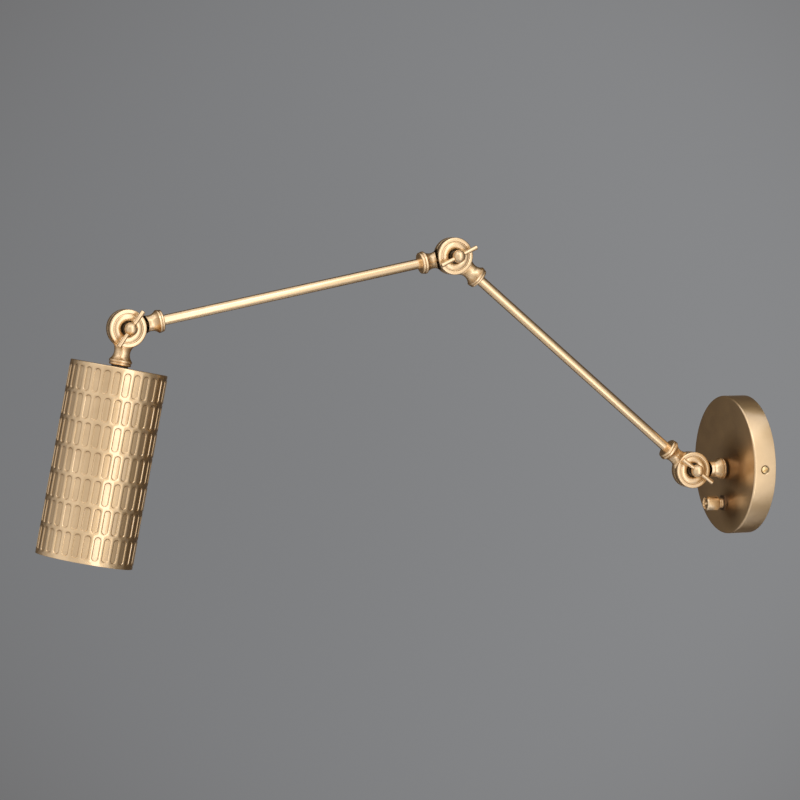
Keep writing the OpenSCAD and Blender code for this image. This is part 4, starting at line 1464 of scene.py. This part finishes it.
@dataclass
class WallPlate(Assembly):
    """The spun plate on the wall, with its bracket, screws and terminal block.

    Attributes:
        stem_hole: How far below the plate's middle the stem's hole lies, and its radius.
        knob_hole: The same of the knob's hole.
        shank: Length of a rim screw below its head.
        nipple_spare: Length of the stem's nipple past its nut.
        terminal_size: Depth and height of the terminal block.
        terminal_z: Height of the terminal block's middle above the plate's.
        terminal_screw: Radius, height and slot width of a terminal screw's head.
        terminal_sink: How deep the terminal screws are sunk.
    """

    knuckles: Knuckles
    radius: float = 60.0
    depth: float = 20.0
    wall: float = 1.5
    edge_r: float = 1.5
    stem_hole: Point = (3.5, 5.02)
    knob_hole: Point = (33.5, 4.52)
    screw_depth: float = 10.0
    screw_r: float = 2.0
    head_r: float = 3.3
    dimple_r: float = 4.3
    slot_w: float = 1.3
    slot_depth: float = 1.1
    slot_lean: float = 35.0
    shank: float = 5.2
    nut_flats: float = 14.0
    nut_t: float = 3.0
    nipple_spare: float = 1.5
    terminal_pitch: float = 9.0
    terminal_size: Point = (12.0, 16.0)
    terminal_z: float = 30.0
    terminal_screw: tuple[float, float, float] = (2.1, 2.5, 0.6)
    terminal_sink: float = 4.5
    earth_r: float = 2.0
    bracket_t: float = 2.0

    @property
    def slope(self) -> float:
        """How much wider a dimple gets for each millimetre outwards."""
        return (self.dimple_r - self.screw_r) / self.wall

    def dish(self) -> Solid:
        """The spun dish about local Z, which points out from the wall."""
        inner, floor, past = self.radius - self.wall, self.depth - self.wall, 1.0
        profile = [
            (0, self.depth), (self.radius, self.depth, self.edge_r), (self.radius, 0, 0.25), (inner, 0, 0.25),
            (inner, floor, 1.0), (0, floor),
        ]
        stem_hole, knob_hole = (
            rod(hole_r, floor - 1, self.depth + 1).moved(Matrix.Translation((0, -drop, 0)))
            for drop, hole_r in (self.stem_hole, self.knob_hole)
        )
        cone = Solid.turned(
            [
                (0, inner - past), (self.screw_r, inner - past), (self.screw_r, inner),
                (self.dimple_r + self.slope * past, self.radius + past), (0, self.radius + past),
            ],
            segments=64,
        )
        tools = stem_hole.beside(knob_hole).beside(*self.at_rim(cone))
        return Solid.turned(profile, segments=240, steps=8).less(tools)

    def at_rim(self, solid: Solid) -> list[Solid]:
        """Two copies of a solid, whose local Z points out through either side of the rim."""
        rise, sideways = Matrix.Translation((0, 0, self.screw_depth)), Matrix.Rotation(math.radians(90), 4, "Y")
        return [solid.moved(rise @ (sideways @ Matrix.Rotation(math.radians(turn), 4, "X"))) for turn in (0.0, 180.0)]

    def rim_screw(self) -> Solid:
        """A slotted screw with a domed head, its axis along local Z."""
        seat_z, edge_r, top = self.radius - self.wall, self.head_r - 0.35, self.radius
        dome_h = top - (seat_z + (self.head_r - self.screw_r) / self.slope)
        dome_r = (edge_r**2 + dome_h**2) / (2 * dome_h)
        spread = math.degrees(math.asin(edge_r / dome_r))
        profile = [
            (0, seat_z - self.shank), *ridged(self.screw_r, seat_z - self.shank, seat_z - 0.4, 0.7, 0.3),
            (self.screw_r, seat_z), (edge_r, seat_z + (edge_r - self.screw_r) / self.slope),
            *arc((0, top - dome_r), dome_r, 90 - spread, 90, 10)[:-1], (0, top),
        ]
        slot = self.slot(self.head_r, self.slot_w, top - self.slot_depth, top + 1)
        slot = slot.moved(Matrix.Rotation(math.radians(self.slot_lean), 4, "Z"))
        return Solid.turned(profile, segments=56).less(slot).broken_edges(0.06, 50, 1)

    def slot(self, radius: float, width: float, low: float, high: float) -> Solid:
        """The cutter of a screw's slot, which goes past the head on both sides."""
        return Solid.block((-radius - 1, -width / 2, low), (radius + 1, width / 2, high))

    def slotted_head(self, radius: float, height: float, slot_w: float) -> Solid:
        """A cheese head with a slot, standing on z = 0."""
        head = Solid.turned([(0, 0), (radius, 0, 0.1), (radius, height, 0.35), (0, height)], segments=56)
        return head.less(self.slot(radius, slot_w, height / 2, height + 1))

    def earth_bolt(self) -> tuple[Solid, Matrix]:
        """The earth screw's head and shank, and its place, where the frame has its node."""
        low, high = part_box("earth_screw")
        head = self.slotted_head((high.z - low.z) / 2 / MM, (high.x - low.x) / MM - self.bracket_t, 1.0)
        middle = Vector((0, (low.y + high.y) / 2, (low.z + high.z) / 2))
        place = seat(middle, Vector((0, 1, 0)), self.bones.from_wall)
        return head.raised(self.bracket_t).joined(rod(self.earth_r, 0, self.bracket_t + 0.5, 48)), place

    def terminal_screws(self) -> Solid:
        """The small clamp screws in the terminal block's wells."""
        depth, height = self.terminal_size
        screw, front = self.slotted_head(*self.terminal_screw), self.bracket_t + depth - self.terminal_sink
        places = [
            (way * self.terminal_pitch, self.terminal_z + row * height / 4, front)
            for way in (-1, 0, 1) for row in (-1, 1)
        ]
        first, *others = (screw.moved(Matrix.Translation(place)) for place in places)
        return first.beside(*others)

    def fit(self) -> Pieces:
        """Sets the plate and all that stands behind it on the lamp."""
        bones, knuckles = self.bones, self.knuckles
        out = seat(Vector((0, 0, 0)), bones.front, bones.from_wall)
        axis = axial(bones.at["base"], -bones.from_wall)
        in_place = Matrix.Scale(MM, 4)
        inside = knuckles.neck_len + knuckles.spacer_t + self.wall
        nipple = knuckles.nipple(inside + self.nut_t + self.nipple_spare)
        nut = hex_nut(self.nut_flats, self.nut_t, knuckles.nipple_r).raised(inside)
        left, right = self.at_rim(self.rim_screw())
        earth, at_earth = self.earth_bolt()
        for name, solid, place, finish, *nodes in (
            ("spun_plate", self.dish(), out, PLATE_BRASS, "wall_plate"),
            ("rim_screws", left.beside(right), out, PLAIN_BRASS, "side_screws"),
            ("bracket_pressing", Solid.of_node("wall_bracket").broken_edges(0.25), in_place, ZINC, "wall_bracket"),
            ("terminal_moulding", Solid.of_node("terminal_block").broken_edges(0.4), in_place, IVORY_PLASTIC,
             "terminal_block"),
            ("terminal_screws", self.terminal_screws(), out, PLAIN_BRASS),
            ("stem_thread", nipple, axis, PLAIN_BRASS, "base_nipple"),
            ("stem_gasket", knuckles.spacer(), axis, DARK_RUBBER, "base_spacer"),
            ("stem_inner_nut", nut, axis, ZINC, "base_locknut"),
            ("earth_bolt", earth, at_earth, PLAIN_BRASS, "earth_screw"),
        ):
            yield install(name, solid, place, finish, Body.WALL_MOUNT, *nodes)


@dataclass
class Dimmer(Assembly):
    """The dimmer behind the plate, with its nut, shaft and turned knob, measured from the plate's face.

    Attributes:
        gap: Distance of the knob from the nut.
        neck_groove: Radius of the two grooves round the knob's neck.
        back_r: Rounding of the barrel's back edge.
        rim_w: Width of the rim round the knob's dished front.
        dish: Depth of that front.
        bead_r: Radius of the bead in its middle.
        case: Width, height and depth of the case.
        case_wall: Depth of the seam round the case.
    """

    plate_wall: float = 1.5
    nut_t: float = 1.7
    nut_flats: float = 13.0
    bushing_r: float = 4.5
    gap: float = 0.3
    neck_r: float = 4.6
    neck_len: float = 4.7
    neck_groove: float = 0.4
    barrel_r: float = 6.6
    barrel_len: float = 11.3
    bevel: float = 1.0
    back_r: float = 1.5
    rim_w: float = 1.6
    dish: float = 1.0
    bead_r: float = 1.2
    shaft_r: float = 3.0
    case: tuple[float, float, float] = (26.0, 22.0, 12.0)
    case_wall: float = 0.4

    @property
    def back(self) -> float:
        """Where the knob starts."""
        return self.nut_t + self.gap

    @property
    def shaft_end(self) -> float:
        """The blind end of the knob's hole."""
        return self.back + self.neck_len + self.barrel_len / 2

    def knob(self) -> Solid:
        """The knob about local Z."""
        shoulder = self.back + self.neck_len
        front = shoulder + self.barrel_len
        floor = front - self.dish
        dish_r, hole_r = self.barrel_r - self.rim_w, self.shaft_r + 0.02
        grooves = []
        for third in (1, 2):
            z = self.back + third * self.neck_len / 3
            grooves += reversed(arc((self.neck_r, z), self.neck_groove, 90, 270, 8))
        profile = [
            (0, self.shaft_end), (hole_r, self.shaft_end), (hole_r, self.back, 0.2), (self.neck_r, self.back, 0.2),
            *grooves, (self.neck_r, shoulder, 0.15), (self.barrel_r, shoulder, self.back_r),
            (self.barrel_r, front - self.bevel, 0.2), (self.barrel_r - self.bevel, front, 0.2),
            (dish_r, front, 0.15), (dish_r, floor, 0.3), (self.bead_r, floor, 0.05),
            *arc((0, floor), self.bead_r, 5, 90, 10)[:-1], (0, floor + self.bead_r),
        ]
        return Solid.turned(profile, segments=112, steps=5)

    def housing(self) -> Solid:
        """The case with its threaded bushing."""
        width, height, deep = self.case
        top, wall = -self.plate_wall, self.case_wall
        middle, seam_z = top - deep / 2, top - deep / 3
        box = Solid.block((-width / 2, -height / 2, top - deep), (width / 2, height / 2, top)).broken_edges(0.8, 35, 4)
        seam = Solid.block((-width, -height, seam_z - 0.25), (width, height, seam_z + 0.25))
        core_w, core_h = width / 2 - wall, height / 2 - wall
        core = Solid.block((-core_w, -core_h, top - deep), (core_w, core_h, top))
        thread = [
            (0, middle), (self.bushing_r, middle), (self.bushing_r, top),
            *ridged(self.bushing_r, top + 0.01, self.nut_t, 0.75, 0.25), (0, self.nut_t),
        ]
        bore = rod(self.shaft_r + 0.05, middle - 0.1, self.nut_t + 1)
        return box.less(seam.less(core)).joined(Solid.turned(thread)).less(bore)

    def fit(self) -> Pieces:
        """Sets the dimmer and its knob on the lamp."""
        place = seat(self.bones.knob, Vector((0, 1, 0)), self.bones.from_wall)
        nut = hex_nut(self.nut_flats, self.nut_t, self.bushing_r + 0.02, 0.4)
        shaft = rod(self.shaft_r, -self.plate_wall - self.case[2] / 2 + 0.05, self.shaft_end, 64, 0.3)
        for name, solid, finish, body, node in (
            ("dimmer_housing", self.housing(), BLACK_PLASTIC, Body.WALL_MOUNT, "dimmer_case"),
            ("dimmer_ring_nut", nut, DARK_NUT, Body.WALL_MOUNT, "dimmer_nut"),
            ("turned_knob", self.knob(), KNOB_BRASS, Body.DIMMER, "dimmer_knob"),
            ("dimmer_spindle", shaft, ZINC, Body.DIMMER, "dimmer_shaft"),
        ):
            yield install(name, solid, place, finish, body, node)


def direction(azimuth: float, elevation: float) -> Vector:
    """A direction from the lamp's middle, by its angles in degrees."""
    a, e = math.radians(azimuth), math.radians(elevation)
    return Vector((math.sin(a) * math.cos(e), -math.cos(a) * math.cos(e), math.sin(e)))


@dataclass(frozen=True)
class Stand:
    """A stand that faces the lamp's middle, for the camera or a soft lamp.

    Attributes:
        azimuth: Direction that it stands in, in degrees from the front towards the wall side.
        elevation: Height above the horizon in degrees.
        distance: Distance from the lamp's middle in metres.
    """

    azimuth: float
    elevation: float
    distance: float

    def carry(self, name: str, data: bpy.types.ID, target: Vector) -> bpy.types.Object:
        """Puts a camera or a lamp on the stand.

        Args:
            name: Its name.
            data: The camera or lamp.
            target: The point that it faces.

        Returns:
            Its object.
        """
        back = direction(self.azimuth, self.elevation)
        thing = shown(name, data)
        thing.location = target + back * self.distance
        thing.rotation_mode = "QUATERNION"
        thing.rotation_quaternion = (-back).to_track_quat("-Z", "Y")
        return thing


@dataclass(frozen=True)
class Softbox(Stand):
    """A large soft lamp, with its size in metres and the brightness of its surface, where 1 is white."""

    name: str
    width: float
    height: float
    radiance: float
    tint: Colour = (0.97, 1.0, 1.06)

    def set_up(self, target: Vector) -> None:
        """Sets up the softbox.

        Args:
            target: The point that it faces.
        """
        data = bpy.data.lights.new(self.name, "AREA")
        data.shape = "RECTANGLE"
        data.size, data.size_y = self.width, self.height
        data.energy = self.radiance * math.pi * self.width * self.height
        data.color = self.tint
        self.carry(self.name, data, target).visible_camera = False


@dataclass
class Studio:
    """The camera, the soft lamps, the grey surroundings and the pale floor.

    Attributes:
        strips: The tall lamps side by side round the front: where each starts and ends, and its brightness.
    """

    view: Stand = Stand(-20.3, 3.9, 2.75)
    focal_px: float = 3280.0
    frame_px: float = 800.0
    sensor: float = 36.0
    target: Vector = field(default_factory=lambda: Vector((-0.3212, 0.0, 0.06347)))
    room: Colour = (0.066, 0.052, 0.042)
    backdrop: tuple[Colour, Colour] = ((0.191, 0.194, 0.2), (0.25, 0.254, 0.262))
    backdrop_spread: Point = (0.955, 0.997)
    floor_z: float = -1.5
    floor_r: float = 1.4
    strip_distance: float = 3.6
    strip_height: float = 10.6
    strip_rise: float = 1.0
    strips: tuple[tuple[float, float, float], ...] = (
        (-150.0, -130.0, 0.1), (-130.0, -110.0, 0.36), (-110.0, -90.0, 0.6), (-90.0, -55.0, 0.9),
        (-55.0, -30.0, 0.7), (-30.0, -4.0, 0.85), (-4.0, 17.0, 2.3), (17.0, 42.0, 0.95),
        (42.0, 60.0, 0.38), (60.0, 90.0, 0.13),
    )
    sky: Softbox = Softbox(-25.0, 75.0, 3.0, "sky", 5.0, 4.0, 1.05)

    @property
    def softboxes(self) -> list[Softbox]:
        """The strips and the lamp overhead."""
        boxes, far = [], self.strip_distance
        for number, (left, right, radiance) in enumerate(self.strips):
            width = 2 * far * math.tan(math.radians((right - left) / 2))
            sizes = (f"strip_{number}", width, self.strip_height, radiance)
            boxes.append(Softbox((left + right) / 2, self.strip_rise, far, *sizes))
        return [*boxes, self.sky]

    def camera(self) -> None:
        """Puts the camera at the photograph's viewpoint."""
        data = bpy.data.cameras.new("camera")
        data.sensor_width = self.sensor
        data.lens = self.focal_px / self.frame_px * self.sensor
        data.clip_start, data.clip_end = 0.1, 50.0
        bpy.context.scene.camera = self.view.carry("camera", data, self.target)

    def surroundings(self) -> None:
        """A grey backdrop behind the lamp that falls off to a darker room."""
        world = bpy.data.worlds.new("studio")
        bpy.context.scene.world = world
        world.use_nodes = True
        world.node_tree.nodes.clear()
        bench = Bench(world.node_tree)
        gaze = bench.add("ShaderNodeTexCoord").outputs["Generated"]
        ahead = -direction(self.view.azimuth, self.view.elevation)
        across = ahead.cross(Vector((0, 0, 1))).normalized()
        aside, inside = (
            bench.span(bench.vector("DOT_PRODUCT", gaze, towards), *ends, 0.0, 1.0, "SMOOTHSTEP")
            for towards, ends in ((across, (-0.17, 0.17)), (ahead, self.backdrop_spread))
        )
        paper = bench.blend(aside, *(opaque(colour) for colour in self.backdrop))
        light = bench.add("ShaderNodeBackground", Color=bench.blend(inside, opaque(self.room), paper), Strength=1.0)
        bench.add("ShaderNodeOutputWorld", Surface=light.outputs[0])

    def floor(self) -> None:
        """A plain pale floor well below the lamp, with a soft edge."""
        middle = (self.target.x, 0.0, self.floor_z)
        work = bmesh.new()
        bmesh.ops.create_circle(work, cap_ends=True, radius=self.floor_r, segments=96)
        work.transform(Matrix.Translation(middle))
        floor = shown("floor", mesh_of(work, "floor"))
        material, bench, surface = shader("pale_floor")
        offset = bench.vector("DISTANCE", bench.add("ShaderNodeTexCoord").outputs["Object"], middle)
        fade = bench.span(offset, 0.6 * self.floor_r, self.floor_r, 1.0, 0.0)
        under = bench.add("ShaderNodeNewGeometry").outputs["Backfacing"]
        alpha = bench.times(fade, bench.math("SUBTRACT", 1.0, under))
        bench.wire(surface, Base_Color=(0.78, 0.78, 0.79, 1.0), Roughness=0.9, Alpha=alpha)
        floor.data.materials.append(material)

    def set_up(self) -> None:
        """Sets up the whole studio."""
        self.camera()
        self.surroundings()
        self.floor()
        for softbox in self.softboxes:
            softbox.set_up(self.target)
        bpy.context.scene.view_settings.view_transform = "Standard"


def main() -> None:
    """Builds the studio and the lamp, and reports each piece."""
    logging.basicConfig(level=logging.INFO, format="%(name)s %(message)s")
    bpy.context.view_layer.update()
    Studio().set_up()
    bones = Skeleton()
    knuckles = Knuckles(bones)
    shade, plate = FlutedShade(bones, knuckles), WallPlate(bones, knuckles)
    for assembly in (knuckles, shade, Lampholder(bones), plate, Dimmer(bones)):
        for piece in assembly.fit():
            LOG.info("%s: %d faces", piece.name, len(piece.data.polygons))


if __name__ == "__main__":
    main()
